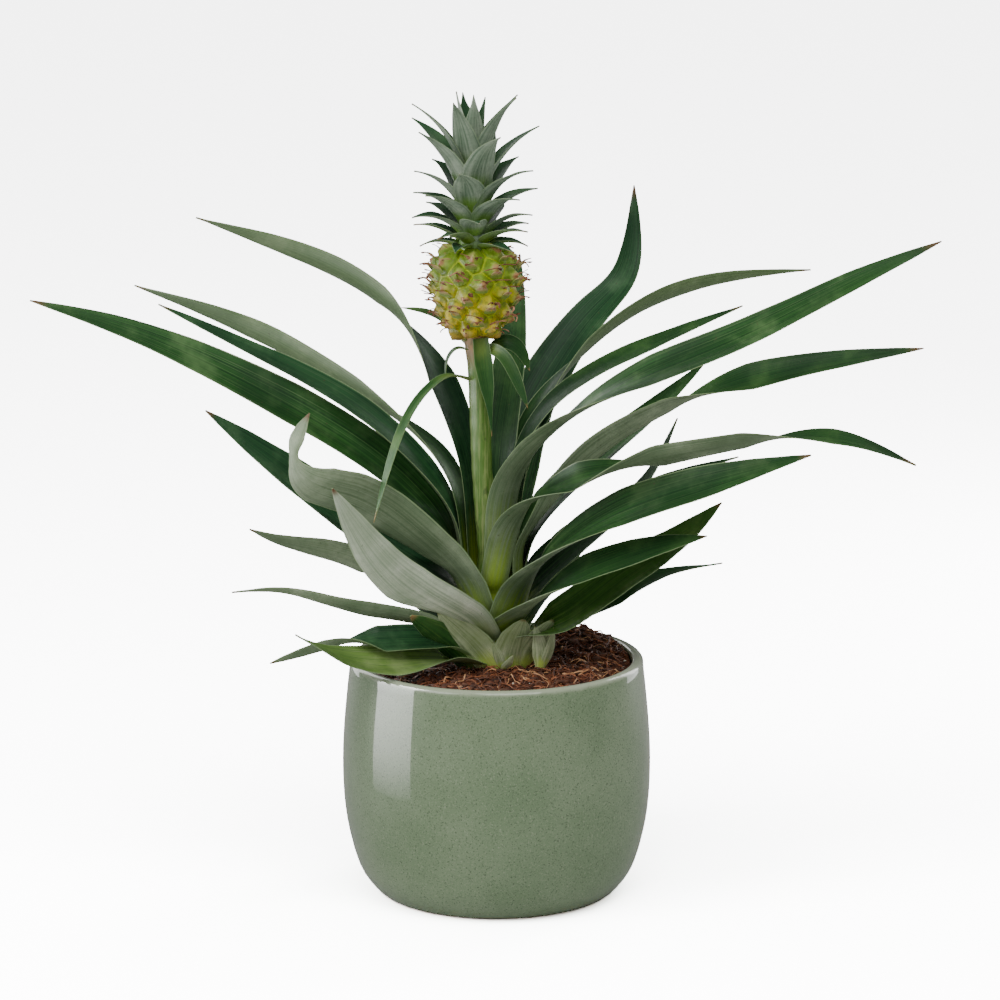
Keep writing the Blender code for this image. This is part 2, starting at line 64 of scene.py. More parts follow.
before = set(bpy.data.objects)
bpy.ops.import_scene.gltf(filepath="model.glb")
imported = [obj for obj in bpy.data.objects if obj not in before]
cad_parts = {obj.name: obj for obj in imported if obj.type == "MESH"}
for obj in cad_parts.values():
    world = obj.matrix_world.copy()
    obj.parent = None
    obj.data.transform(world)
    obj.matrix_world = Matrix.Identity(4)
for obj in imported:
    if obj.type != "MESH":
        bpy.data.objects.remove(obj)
CAD_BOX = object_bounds()


# ---------------------------------------------------------------- shader maths

class Socket:
    """A socket in one node tree, so that shader maths reads as a Python expression."""

    def __init__(self, tree: bpy.types.NodeTree, link: bpy.types.NodeSocket) -> None:
        """Keep the tree and the socket."""
        self.tree = tree
        self.link = link

    def _maths(self, operation: str, first: Any, second: Any = None) -> "Socket":
        """Add one Math node.

        Args:
            operation: The Math node's operation.
            first: A Socket or a number.
            second: A Socket, a number or nothing.

        Returns:
            The node's result.
        """
        node = self.tree.nodes.new("ShaderNodeMath")
        node.operation = operation
        for slot, value in enumerate((first, second)):
            if isinstance(value, Socket):
                self.tree.links.new(value.link, node.inputs[slot])
            elif value is not None:
                node.inputs[slot].default_value = value
        return Socket(self.tree, node.outputs[0])

    def __add__(self, other: Any) -> "Socket":
        """Add a value."""
        return self._maths("ADD", self, other)

    __radd__ = __add__

    def __sub__(self, other: Any) -> "Socket":
        """Take a value away."""
        return self._maths("SUBTRACT", self, other)

    def __rsub__(self, other: Any) -> "Socket":
        """Take this socket away from a value."""
        return self._maths("SUBTRACT", other, self)

    def __mul__(self, other: Any) -> "Socket":
        """Multiply by a value."""
        return self._maths("MULTIPLY", self, other)

    __rmul__ = __mul__

    def __abs__(self) -> "Socket":
        """Drop the sign."""
        return self._maths("ABSOLUTE", self)


class Finish:
    """One material under construction, with short ways to add its nodes."""

    def __init__(self, name: str) -> None:
        """Start a Principled material.

        Args:
            name: The material's name.
        """
        self.material = bpy.data.materials.new(name)
        self.material.use_nodes = True
        self.tree = self.material.node_tree
        self.shader = self.tree.nodes["Principled BSDF"]

    def node(self, kind: str, settings: dict[str, Any] | None = None,
             inputs: dict[Any, Any] | None = None) -> bpy.types.Node:
        """Add a node, set it up, then fill its sockets.

        Args:
            kind: The node's type.
            settings: Values of the node's own properties; a ramp's stops go under "stops".
            inputs: Socket names or numbers with values or Sockets.

        Returns:
            The node.
        """
        node = self.tree.nodes.new(kind)
        for key, value in (settings or {}).items():
            if key == "stops":
                ramp = node.color_ramp
                while len(ramp.elements) < len(value):
                    ramp.elements.new(0.5)
                for element, (place, colour) in zip(ramp.elements, value):
                    element.position = place
                    element.color = (*colour, 1.0)
            else:
                setattr(node, key, value)
        for key, value in (inputs or {}).items():
            self.feed(node.inputs[key], value)
        return node

    def feed(self, socket: bpy.types.NodeSocket, value: Any) -> None:
        """Link a Socket, or set a constant.

        Args:
            socket: The input to fill.
            value: A Socket or a constant.
        """
        if isinstance(value, Socket):
            self.tree.links.new(value.link, socket)
        else:
            socket.default_value = value

    def out(self, node: bpy.types.Node, name: Any = 0) -> Socket:
        """One of a node's outputs as a Socket."""
        return Socket(self.tree, node.outputs[name])

    def place(self, scale: Point = (1.0, 1.0, 1.0), shift: Point = (0.0, 0.0, 0.0),
              uv: bool = False) -> Socket:
        """Coordinates for a pattern.

        Args:
            scale: Stretch along each axis.
            shift: Offset along each axis.
            uv: Whether to read the piece's own UV map instead of object space.

        Returns:
            The mapped coordinates.
        """
        source = self.node("ShaderNodeTexCoord")
        mapping = self.node("ShaderNodeMapping", None, {
            "Vector": self.out(source, "UV" if uv else "Object"), "Scale": scale, "Location": shift})
        return self.out(mapping)

    def noise(self, where: Socket, scale: float, detail: float = 3.0, rough: float = 0.55) -> Socket:
        """Soft noise from 0 to 1.

        Args:
            where: The coordinates.
            scale: Cells for each unit.
            detail: Finer layers.
            rough: How strong the finer layers are.

        Returns:
            The noise value.
        """
        return self.out(self.node("ShaderNodeTexNoise", None, {
            "Vector": where, "Scale": scale, "Detail": detail, "Roughness": rough}))

    def cells(self, where: Socket, scale: float) -> Socket:
        """Distance to the nearest of many scattered points.

        Args:
            where: The coordinates.
            scale: Points for each unit.

        Returns:
            The distance.
        """
        node = self.node("ShaderNodeTexVoronoi", None, {"Vector": where, "Scale": scale})
        return self.out(node, "Distance")

    def height(self, where: Socket) -> Socket:
        """The upward part of some coordinates."""
        return self.out(self.node("ShaderNodeSeparateXYZ", None, {0: where}), 2)

    def mark(self, name: str) -> Socket:
        """A value that the mesh carries at its points."""
        return self.out(self.node("ShaderNodeAttribute", {"attribute_name": name}), "Fac")

    def between(self, value: Socket, low: float, high: float, start: float = 0.0, end: float = 1.0) -> Socket:
        """Map a range smoothly onto another.

        Args:
            value: What is read.
            low: Where the change starts.
            high: Where it ends.
            start: The result at low and below.
            end: The result at high and above.

        Returns:
            The mapped value.
        """
        return self.out(self.node("ShaderNodeMapRange", {"interpolation_type": "SMOOTHSTEP"}, {
            "Value": value, "From Min": low, "From Max": high, "To Min": start, "To Max": end}))

    def blend(self, share: Any, first: Any, second: Any) -> Socket:
        """Mix two colours.

        Args:
            share: How much of the second one shows.
            first: A Socket or a colour.
            second: A Socket or a colour.

        Returns:
            The mixed colour.
        """
        node = self.node("ShaderNodeMix", {"data_type": "RGBA"})
        self.feed(node.inputs[0], share)
        for slot, colour in ((6, first), (7, second)):
            self.feed(node.inputs[slot], colour if isinstance(colour, Socket) else (*colour, 1.0))
        return self.out(node, 2)

    def along_leaf(self) -> tuple[Socket, Socket]:
        """Shares across and along a leaf from its own UV map."""
        parts = self.node("ShaderNodeSeparateXYZ", None, {0: self.place(uv=True)})
        return self.out(parts, 0), self.out(parts, 1)

    def bump(self, height: Socket, strength: float, distance: float) -> None:
        """Raise the surface.

        Args:
            height: The relief.
            strength: How much of it shows.
            distance: Its depth in metres.
        """
        node = self.node("ShaderNodeBump", None, {
            "Height": height, "Strength": strength, "Distance": distance})
        self.feed(self.shader.inputs["Normal"], self.out(node))

    def done(self, colour: Any, roughness: Any, **constants: float) -> bpy.types.Material:
        """Connect the shader.

        Args:
            colour: Base colour, a Socket or a colour.
            roughness: A Socket or a number.
            constants: Other sockets by name, with underscores for spaces.

        Returns:
            The finished material.
        """
        self.feed(self.shader.inputs["Base Color"], colour if isinstance(colour, Socket) else (*colour, 1.0))
        self.feed(self.shader.inputs["Roughness"], roughness)
        for key, value in constants.items():
            self.shader.inputs[key.replace("_", " ")].default_value = value
        return self.material


def srgb(red: float, green: float, blue: float) -> Colour:
    """Turn an everyday 0 to 255 colour into the linear one that shaders use."""
    def linear(value: float) -> float:
        """One channel."""
        share = value / 255
        return share / 12.92 if share <= 0.04045 else ((share + 0.055) / 1.055) ** 2.4
    return linear(red), linear(green), linear(blue)


# ---------------------------------------------------------------- finishes

@dataclass(frozen=True)
class GlazeFinish:
    """Glossy sage glaze: fine dark speckles, thinner and paler over the rim's edge."""

    body: Colour = srgb(121, 139, 108)
    deep: Colour = srgb(105, 126, 93)
    pale: Colour = srgb(152, 164, 136)
    speck: Colour = srgb(56, 70, 46)
    rim: Colour = srgb(176, 184, 158)
    rim_start: float = 0.1215
    rim_full: float = 0.1246

    def make(self) -> bpy.types.Material:
        """Build the material."""
        finish = Finish("sage_glaze")
        space = finish.place()
        height = finish.height(space)
        cloud = finish.between(finish.noise(space, 22, 3), 0.35, 0.7)
        colour = finish.blend(cloud * 0.9, self.body, self.deep)
        salt = finish.between(finish.noise(space, 1250, 3, 0.65), 0.52, 0.68)
        pepper = finish.between(finish.noise(finish.place(shift=(0.3, 0.7, 0.2)), 1100, 3, 0.65), 0.54, 0.7)
        colour = finish.blend(salt * 0.5, colour, self.pale)
        colour = finish.blend(pepper * 0.72, colour, self.speck)
        dots = finish.between(finish.cells(space, 520), 0.26, 0.12) * finish.between(
            finish.noise(space, 260, 1), 0.45, 0.6)
        colour = finish.blend(dots * 0.5, colour, self.speck)
        ragged = height + (finish.noise(space, 120, 3) - 0.5) * 0.0014
        colour = finish.blend(finish.between(ragged, self.rim_start, self.rim_full) * 0.8, colour, self.rim)
        finish.bump(finish.noise(space, 35, 2), 0.10, 0.0006)
        return finish.done(colour, 0.34, Coat_Weight=1.0, Coat_Roughness=0.045, Coat_IOR=1.5,
                           Specular_IOR_Level=0.12)


@dataclass(frozen=True)
class BareClayFinish:
    """Unglazed pale clay of the pot's foot."""

    clay: Colour = srgb(176, 160, 138)
    dark: Colour = srgb(150, 134, 114)

    def make(self) -> bpy.types.Material:
        """Build the material."""
        finish = Finish("bare_clay")
        space = finish.place()
        grain = finish.noise(space, 500, 3)
        finish.bump(grain, 0.3, 0.0004)
        return finish.done(finish.blend(grain, self.clay, self.dark), 0.85)


@dataclass(frozen=True)
class SoilFinish:
    """Matt dark peat with reddish fibre dust."""

    dark: Colour = srgb(40, 21, 14)
    warm: Colour = srgb(120, 68, 44)
    pale: Colour = srgb(164, 112, 74)

    def make(self) -> bpy.types.Material:
        """Build the material."""
        finish = Finish("potting_soil")
        space = finish.place()
        clumps = finish.between(finish.noise(space, 210, 5, 0.65), 0.35, 0.7)
        colour = finish.blend(clumps, self.dark, self.warm)
        crumbs = finish.between(finish.noise(finish.place(shift=(0.3, 0.1, 0.0)), 620, 3), 0.58, 0.72)
        colour = finish.blend(crumbs * 0.6, colour, self.pale)
        finish.bump(finish.noise(space, 700, 4, 0.7), 0.8, 0.0012)
        return finish.done(colour, 0.95, Specular_IOR_Level=0.2)


@dataclass(frozen=True)
class PlainFleckFinish:
    """A rough fibre, bark chip or white grain, mottled a little."""

    name: str
    colour: Colour
    shade: Colour
    roughness: float = 0.9

    def make(self) -> bpy.types.Material:
        """Build the material."""
        finish = Finish(self.name)
        space = finish.place()
        mottle = finish.noise(space, 330, 3)
        finish.bump(mottle, 0.4, 0.0003)
        return finish.done(finish.blend(finish.between(mottle, 0.35, 0.65), self.colour, self.shade),
                           self.roughness, Specular_IOR_Level=0.25)


@dataclass(frozen=True)
class LeafFinish:
    """One side of a leaf: fine lines along it, a paler edge, a yellow-green base and a brown tip."""

    name: str
    main: Colour
    light: Colour
    dark: Colour
    base: Colour = srgb(146, 174, 50)
    edge: Colour = srgb(150, 172, 128)
    tip: Colour = srgb(104, 78, 50)
    scar: Colour = srgb(70, 66, 44)
    lines: float = 24.0
    stripe: float = 0.72
    base_end: float = 0.24
    base_share: float = 0.85
    dust: float = 0.0
    roughness: float = 0.45
    shine: float = 0.19
    tip_start: float = 0.965

    def make(self) -> bpy.types.Material:
        """Build the material."""
        finish = Finish(self.name)
        across, along = finish.along_leaf()
        streak = finish.place((self.lines, 0.9, 1.0), (0.0, 0.0, 0.4), uv=True)
        broad = finish.noise(streak, 1.0, 2.0)
        hair = finish.noise(finish.place((self.lines * 2.4, 2.2, 1.0), (3.0, 1.0, 0.0), uv=True), 1.0, 2.0)
        space = finish.place()
        cloud = finish.noise(space, 55, 3)
        colour = finish.blend(finish.between(broad, 0.3, 0.62), finish.blend(
            self.stripe, self.main, self.dark), self.main)
        colour = finish.blend(finish.between(hair, 0.5, 0.76) * self.stripe, colour, self.light)
        colour = finish.blend(finish.between(cloud, 0.46, 0.72) * 0.42, colour, self.light)
        shade = finish.noise(finish.place(shift=(0.4, 0.2, 0.1)), 18, 2)
        colour = finish.blend(finish.between(shade, 0.45, 0.65) * 0.55, colour, self.dark)
        if self.dust:
            scurf = finish.between(finish.noise(space, 1000, 4, 0.75), 0.48, 0.7)
            crosswise = finish.place((3.0, 26.0, 1.0), (0, 0, 2), uv=True)
            bands = finish.between(finish.noise(crosswise, 1.0, 3), 0.4, 0.7)
            colour = finish.blend((scurf * 0.6 + bands * 0.4) * self.dust, colour, self.dark)
        scars = finish.between(finish.noise(finish.place(shift=(0.6, 0.1, 0.3)), 480, 2, 0.8), 0.68, 0.74)
        colour = finish.blend(scars * 0.55, colour, self.scar)
        ragged = along + (broad - 0.5) * 0.10
        heart = finish.between(abs(across - 0.5), 0.5, 0.1) * 0.7 + 0.3
        heart = heart * finish.between(ragged, self.base_end, 0.11)
        colour = finish.blend(heart * self.base_share, colour, self.base)
        rim = finish.between(abs(across - 0.5), 0.468, 0.496)
        colour = finish.blend(rim * 0.75, colour, self.edge)
        colour = finish.blend(finish.between(along, self.tip_start, 0.995), colour, self.tip)
        finish.bump(hair * 0.6 + broad * 0.4, 0.35 * self.stripe, 0.0003)
        rough = finish.between(broad, 0.3, 0.7, self.roughness - 0.06, self.roughness + 0.1)
        return finish.done(colour, rough, Specular_IOR_Level=self.shine)


@dataclass(frozen=True)
class StalkFinish:
    """Green flower stalk, tan right under the fruit, with small dark marks."""

    green: Colour = srgb(88, 128, 44)
    pale: Colour = srgb(146, 164, 96)
    mark: Colour = srgb(58, 84, 36)
    tan: Colour = srgb(176, 132, 86)

    def make(self) -> bpy.types.Material:
        """Build the material."""
        finish = Finish("flower_stalk")
        space = finish.place()
        lines = finish.noise(finish.place((900, 900, 28)), 1.0, 3)
        height = finish.height(space)
        colour = finish.blend(finish.between(lines, 0.4, 0.7), self.green, self.pale)
        colour = finish.blend(finish.between(height, 0.274, 0.289) * 0.9, colour, self.tan)
        marks = finish.between(finish.noise(finish.place((260, 260, 120)), 1.0, 2), 0.62, 0.72)
        colour = finish.blend(marks * 0.6, colour, self.mark)
        finish.bump(lines, 0.3, 0.0004)
        return finish.done(colour, 0.48)


@dataclass(frozen=True)
class FruitFinish:
    """Fruit skin that reads two marks on its mesh: how near a seam and how near an eye's middle. Painted
    shade darkens the slopes of each eye between its middle and the seams.
    """

    seam: Colour = srgb(168, 184, 24)
    green: Colour = srgb(122, 154, 32)
    # painted shade: the darker olive laid over each eye's slopes
    shade: Colour = srgb(88, 112, 24)
    gold: Colour = srgb(214, 190, 26)
    cream: Colour = srgb(206, 196, 124)
    blush: Colour = srgb(172, 122, 84)
    foot: Colour = srgb(166, 134, 48)

    def make(self) -> bpy.types.Material:
        """Build the material."""
        finish = Finish("fruit_skin")
        space = finish.place()
        seam = finish.mark("seam")
        middle = finish.mark("middle")
        height = finish.height(space)
        cloud = finish.noise(space, 120, 4)
        patch = finish.noise(finish.place(shift=(0.2, 0.5, 0.1)), 190, 3)
        ripe = finish.between(height + (cloud - 0.5) * 0.02, 0.331, 0.303)
        colour = finish.blend(ripe, self.green, self.gold)
        colour = finish.blend(finish.between(cloud, 0.46, 0.66) * 0.75, colour, self.green)
        # Painted shade: darker olive over each eye's slopes, away from its middle and the seams, broken up by
        # patches.
        ring = (1 - finish.between(middle, 0.1, 0.7)) * (1 - seam) * finish.between(patch, 0.62, 0.4)
        colour = finish.blend(ring * 0.7, colour, self.shade)
        colour = finish.blend(middle * finish.between(patch, 0.42, 0.6) * 0.6, colour, self.cream)
        flush = finish.between(middle, 0.55, 1.0) * finish.between(cloud, 0.4, 0.6)
        colour = finish.blend(flush, colour, self.blush)
        colour = finish.blend(seam * 0.9, colour, self.seam)
        grain = finish.noise(space, 700, 3)
        colour = finish.blend(finish.between(grain, 0.58, 0.74) * 0.5, colour, self.blush)
        colour = finish.blend(finish.between(height, 0.2975, 0.2942) * 0.7, colour, self.foot)
        finish.bump(grain * 0.6 + patch, 0.6, 0.0006)
        return finish.done(colour, 0.5, Specular_IOR_Level=0.24)


@dataclass(frozen=True)
class HuskFinish:
    """A fruit bract: green where it leaves the eye, then pinkish, with a dry brown point."""

    green: Colour = srgb(124, 148, 54)
    cream: Colour = srgb(186, 160, 110)
    brown: Colour = srgb(128, 78, 52)
    start: float = 0.1
    end: float = 0.85

    def make(self) -> bpy.types.Material:
        """Build the material."""
        finish = Finish("fruit_bract")
        _, along = finish.along_leaf()
        grain = finish.noise(finish.place(), 300, 3)
        share = along + (grain - 0.5) * 0.5
        colour = finish.blend(finish.between(share, self.start, 0.5), self.green, self.cream)
        colour = finish.blend(finish.between(share, 0.4, self.end), colour, self.brown)
        finish.bump(grain, 0.4, 0.0003)
        return finish.done(colour, 0.6, Specular_IOR_Level=0.3)


# ---------------------------------------------------------------- shapes

def along_table(table: Sequence[Point], share: float) -> float:
    """Read a value at a share of the length from a table of (share, value) pairs."""
    shares, values = zip(*table)
    return float(np.interp(share, shares, values))


def smooth_step(low: float, high: float, value: float) -> float:
    """Go smoothly from 0 at low to 1 at high; low may be the greater of the two."""
    share = min(max((value - low) / (high - low), 0.0), 1.0)
    return share * share * (3 - 2 * share)


def smooth_course(given: Sequence[Point], count: int) -> np.ndarray:
    """Even points along a natural cubic spline.

    Args:
        given: The points that the spline passes through.
        count: How many points to return.

    Returns:
        An array of count points.
    """
    points = np.array(given, float)
    knots = np.concatenate(([0], np.cumsum(np.linalg.norm(np.diff(points, axis=0), axis=1) ** 0.5)))
    steps = np.diff(knots)
    system = np.eye(len(points))
    right = np.zeros_like(points)
    for i in range(1, len(points) - 1):
        system[i, i - 1:i + 2] = steps[i - 1], 2 * (steps[i - 1] + steps[i]), steps[i]
        right[i] = 6 * ((points[i + 1] - points[i]) / steps[i] - (points[i] - points[i - 1]) / steps[i - 1])
    bends = np.linalg.solve(system, right)
    dense = []
    for knot in np.linspace(0, knots[-1], 240):
        i = min(int(np.searchsorted(knots, knot, side="right")) - 1, len(steps) - 1)
        after, before = knot - knots[i], knots[i + 1] - knot
        dense.append((bends[i] * before ** 3 + bends[i + 1] * after ** 3) / (6 * steps[i])
                     + (points[i] / steps[i] - bends[i] * steps[i] / 6) * before
                     + (points[i + 1] / steps[i] - bends[i + 1] * steps[i] / 6) * after)
    dense = np.array(dense)
    lengths = np.concatenate(([0], np.cumsum(np.linalg.norm(np.diff(dense, axis=0), axis=1))))
    even = np.linspace(0, lengths[-1], count)
    return np.stack([np.interp(even, lengths, dense[:, axis]) for axis in range(3)], axis=1)


def unit(vector: np.ndarray) -> np.ndarray:
    """The vector at length one."""
    return vector / (np.linalg.norm(vector) + 1e-12)


def channel_section(centre: np.ndarray, tangent: np.ndarray, across: np.ndarray, width: float,
                    half_arc: float, roll: float, columns: int) -> np.ndarray:
    """One cross-section of a leaf: an arc that opens upwards, turned about the leaf's length.

    Args:
        centre: The section's middle.
        tangent: The leaf's direction there.
        across: The direction of its width, about level.
        width: The arc's length.
        half_arc: Half of the arc in degrees.
        roll: The turn in degrees.
        columns: How many points to return.

    Returns:
        An array of points.
    """
    across = unit(across - tangent * np.dot(across, tangent))
    upper = np.cross(tangent, across)
    turn = math.radians(roll)
    across, upper = (across * math.cos(turn) + upper * math.sin(turn),
                     upper * math.cos(turn) - across * math.sin(turn))
    arc = math.radians(max(half_arc, 1.0))
    radius = width / (2 * arc)
    angles = arc * np.linspace(-1, 1, columns)
    return centre + np.outer(radius * np.sin(angles), across) + np.outer(radius * (1 - np.cos(angles)), upper)


def rename(piece: bpy.types.Object, name: str) -> None:
    """Name an object and its mesh."""
    piece.name = name
    piece.data.name = name


def facing(place: Point, aim: Point) -> Euler:
    """The turn that points a light or a camera from its place at its aim."""
    return (Vector(aim) - Vector(place)).to_track_quat("-Z", "Y").to_euler()


def deselect() -> None:
    """Leave nothing selected."""
    if bpy.context.object and bpy.context.object.mode != "OBJECT":
        bpy.ops.object.mode_set(mode="OBJECT")
    bpy.ops.object.select_all(action="DESELECT")


def apply_modifiers(piece: bpy.types.Object) -> None:
    """Apply all modifiers of a piece in order."""
    deselect()
    piece.select_set(True)
    bpy.context.view_layer.objects.active = piece
    for modifier in list(piece.modifiers):
        bpy.ops.object.modifier_apply(modifier=modifier.name)


def join(pieces: Sequence[bpy.types.Object], name: str) -> bpy.types.Object:
    """Join pieces into one object.

    Args:
        pieces: The objects, the first of which stays.
        name: The joined object's name.

    Returns:
        The joined object.
    """
    deselect()
    for piece in pieces:
        piece.select_set(True)
    bpy.context.view_layer.objects.active = pieces[0]
    if len(pieces) > 1:
        bpy.ops.object.join()
    rename(pieces[0], name)
    return pieces[0]


def shaped_grid(name: str, sheet: np.ndarray) -> bpy.types.Object:
    """A grid primitive whose points are moved onto a sheet.

    Args:
        name: The object's name.
        sheet: Rows along by columns across of points in millimetres.

    Returns:
        The new object, with the grid's own UV map.
    """
    rows, columns = sheet.shape[:2]
    deselect()
    bpy.ops.mesh.primitive_grid_add(x_subdivisions=columns - 1, y_subdivisions=rows - 1, size=1)
    piece = bpy.context.object
    flat = np.empty(len(piece.data.vertices) * 3)
    piece.data.vertices.foreach_get("co", flat)
    flat = flat.reshape(-1, 3)
    column = np.rint((0.5 - flat[:, 0]) * (columns - 1)).astype(int)
    row = np.rint((flat[:, 1] + 0.5) * (rows - 1)).astype(int)
    piece.data.vertices.foreach_set("co", (sheet[row, column] * MM).ravel())
    piece.data.update()
    rename(piece, name)
    return piece


def close_seams(piece: bpy.types.Object, reach: float = 0.01) -> None:
    """Weld a wrapped grid's seam and poles and face it outwards.

    Args:
        piece: The wrapped grid.
        reach: How near points must be to weld, in millimetres.
    """
    deselect()
    piece.select_set(True)
    bpy.context.view_layer.objects.active = piece
    bpy.ops.object.mode_set(mode="EDIT")
    bpy.ops.mesh.select_all(action="SELECT")
    bpy.ops.mesh.remove_doubles(threshold=reach * MM)
    bpy.ops.mesh.normals_make_consistent(inside=False)
    bpy.ops.object.mode_set(mode="OBJECT")


def thicken(piece: bpy.types.Object, thickness: float, materials: Sequence[bpy.types.Material],
            edge_share: float = 0.3) -> None:
    """Give a leaf its thickness: full along the middle, thin at the margins.

    Args:
        piece: The flat leaf, a shaped grid with its UV map.
        thickness: The greatest thickness in millimetres.
        materials: The upper side's, the under side's and the margin's material.
        edge_share: The margin's share of the thickness.
    """
    group = piece.vertex_groups.new(name="body")
    shares = {}
    layer = piece.data.uv_layers.active.data
    for loop in piece.data.loops:
        shares[loop.vertex_index] = layer[loop.index].uv[0]
    for index, share in shares.items():
        group.add([index], 1 - abs(2 * share - 1) ** 3, "REPLACE")
    for material in materials:
        piece.data.materials.append(material)
    solid = piece.modifiers.new("thickness", "SOLIDIFY")
    solid.thickness = thickness * MM
    solid.offset = 0
    solid.vertex_group = group.name
    solid.thickness_vertex_group = edge_share
    solid.material_offset = 1
    solid.material_offset_rim = 2
    apply_modifiers(piece)
    bpy.ops.object.shade_smooth_by_angle(angle=math.radians(50))


def gather(parts: Iterable[bpy.types.Object], name: str, batch: int = 40) -> bpy.types.Object:
    """Join many small parts into one object, a batch at a time.

    Args:
        parts: The parts, made one after another as they are asked for.
        name: The joined object's name.
        batch: How many to join at once.

    Returns:
        The joined object.
    """
    groups: list[bpy.types.Object] = []
    group: list[bpy.types.Object] = []
    for part in parts:
        group.append(part)
        if len(group) == batch:
            groups.append(join(group, name))
            group = []
    return join([*groups, join(group, name)] if group else groups, name)


def stiffen(piece: bpy.types.Object, thickness: float) -> None:
    """Give a joined piece of thin sheets its thickness in millimetres."""
    piece.modifiers.new("thickness", "SOLIDIFY").thickness = thickness * MM
    apply_modifiers(piece)


def dress(piece: bpy.types.Object, slot: str, *nodes: str) -> None:
    """Tie a finished piece to the frame.

    Args:
        piece: The finished piece.
        slot: The record's material slot; not used.
        nodes: The CAD nodes it stands for.
    """
    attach(piece, "root")
    if nodes:
        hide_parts(*nodes)
    log.info("%s: %d faces", piece.name, len(piece.data.polygons))


# ---------------------------------------------------------------- pot and soil

@dataclass
class Pot:
    """The glazed pot, drawn up ring by ring from its foot."""

    segments: int = 192
    wall: float = 6.0
    floor: float = 8.0
    rim_radius: float = 73.2
    rim_round: float = 3.1
    foot_edge: float = 0.9
    outside: tuple[Point, ...] = (
        (58.4, 0.0), (60.8, 0.7), (62.8, 2.2), (64.5, 4.0), (70.4, 12.0), (75.1, 25.2), (78.4, 41.0),
        (79.9, 58.0), (80.0, 76.0), (79.1, 92.0), (77.6, 108.0), (76.5, 118.0))

    def outline(self) -> list[Point]:
        """The wall's outline in millimetres, from the foot up, over the rim and down inside."""
        shell = smooth_course([(r, 0.0, z) for r, z in self.outside[3:]], 40)
        rise = [(float(p[0]), float(p[2])) for p in shell]
        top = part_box("pot")[1].z / MM
        turns = [math.radians(angle) for angle in range(15, 181, 15)]
        crest = [(self.rim_radius + self.rim_round * math.cos(turn),
                  top - self.rim_round + self.rim_round * math.sin(turn)) for turn in turns]
        inner = [(r - self.wall, z) for r, z in reversed(rise) if self.floor + 6 < z < top - 9]
        return [*self.outside[:3], *rise, *crest, *inner, (66.0, self.floor + 3.5), (60.0, self.floor)]

    def build(self, glaze: bpy.types.Material, clay: bpy.types.Material) -> None:
        """Model and dress the pot.

        Args:
            glaze: The glaze.
            clay: The bare clay of the foot.
        """
        outline = self.outline()
        deselect()
        radius, height = outline[0]
        bpy.ops.mesh.primitive_circle_add(vertices=self.segments, radius=radius * MM, fill_type="NGON",
                                          location=(0, 0, height * MM))
        pot = bpy.context.object
        rename(pot, "glazed_pot")
        bpy.ops.object.transform_apply(location=True, rotation=True, scale=True)
        bpy.ops.object.mode_set(mode="EDIT")
        bpy.ops.mesh.select_all(action="SELECT")
        for new_radius, new_height in outline[1:]:
            bpy.ops.mesh.extrude_region_move(
                TRANSFORM_OT_translate={"value": (0, 0, (new_height - height) * MM)})
            grow = new_radius / radius
            bpy.ops.transform.resize(value=(grow, grow, 1))
            radius, height = new_radius, new_height
        bpy.ops.mesh.select_all(action="SELECT")
        bpy.ops.mesh.normals_make_consistent(inside=False)
        bpy.ops.object.mode_set(mode="OBJECT")
        pot.data.materials.append(glaze)
        pot.data.materials.append(clay)
        for face in pot.data.polygons:
            bare = face.center.z < self.foot_edge * MM and face.normal.z < -0.5
            face.material_index = 1 if bare else 0
        bpy.ops.object.shade_smooth_by_angle(angle=math.radians(35))
        dress(pot, "pot_glaze", "pot")


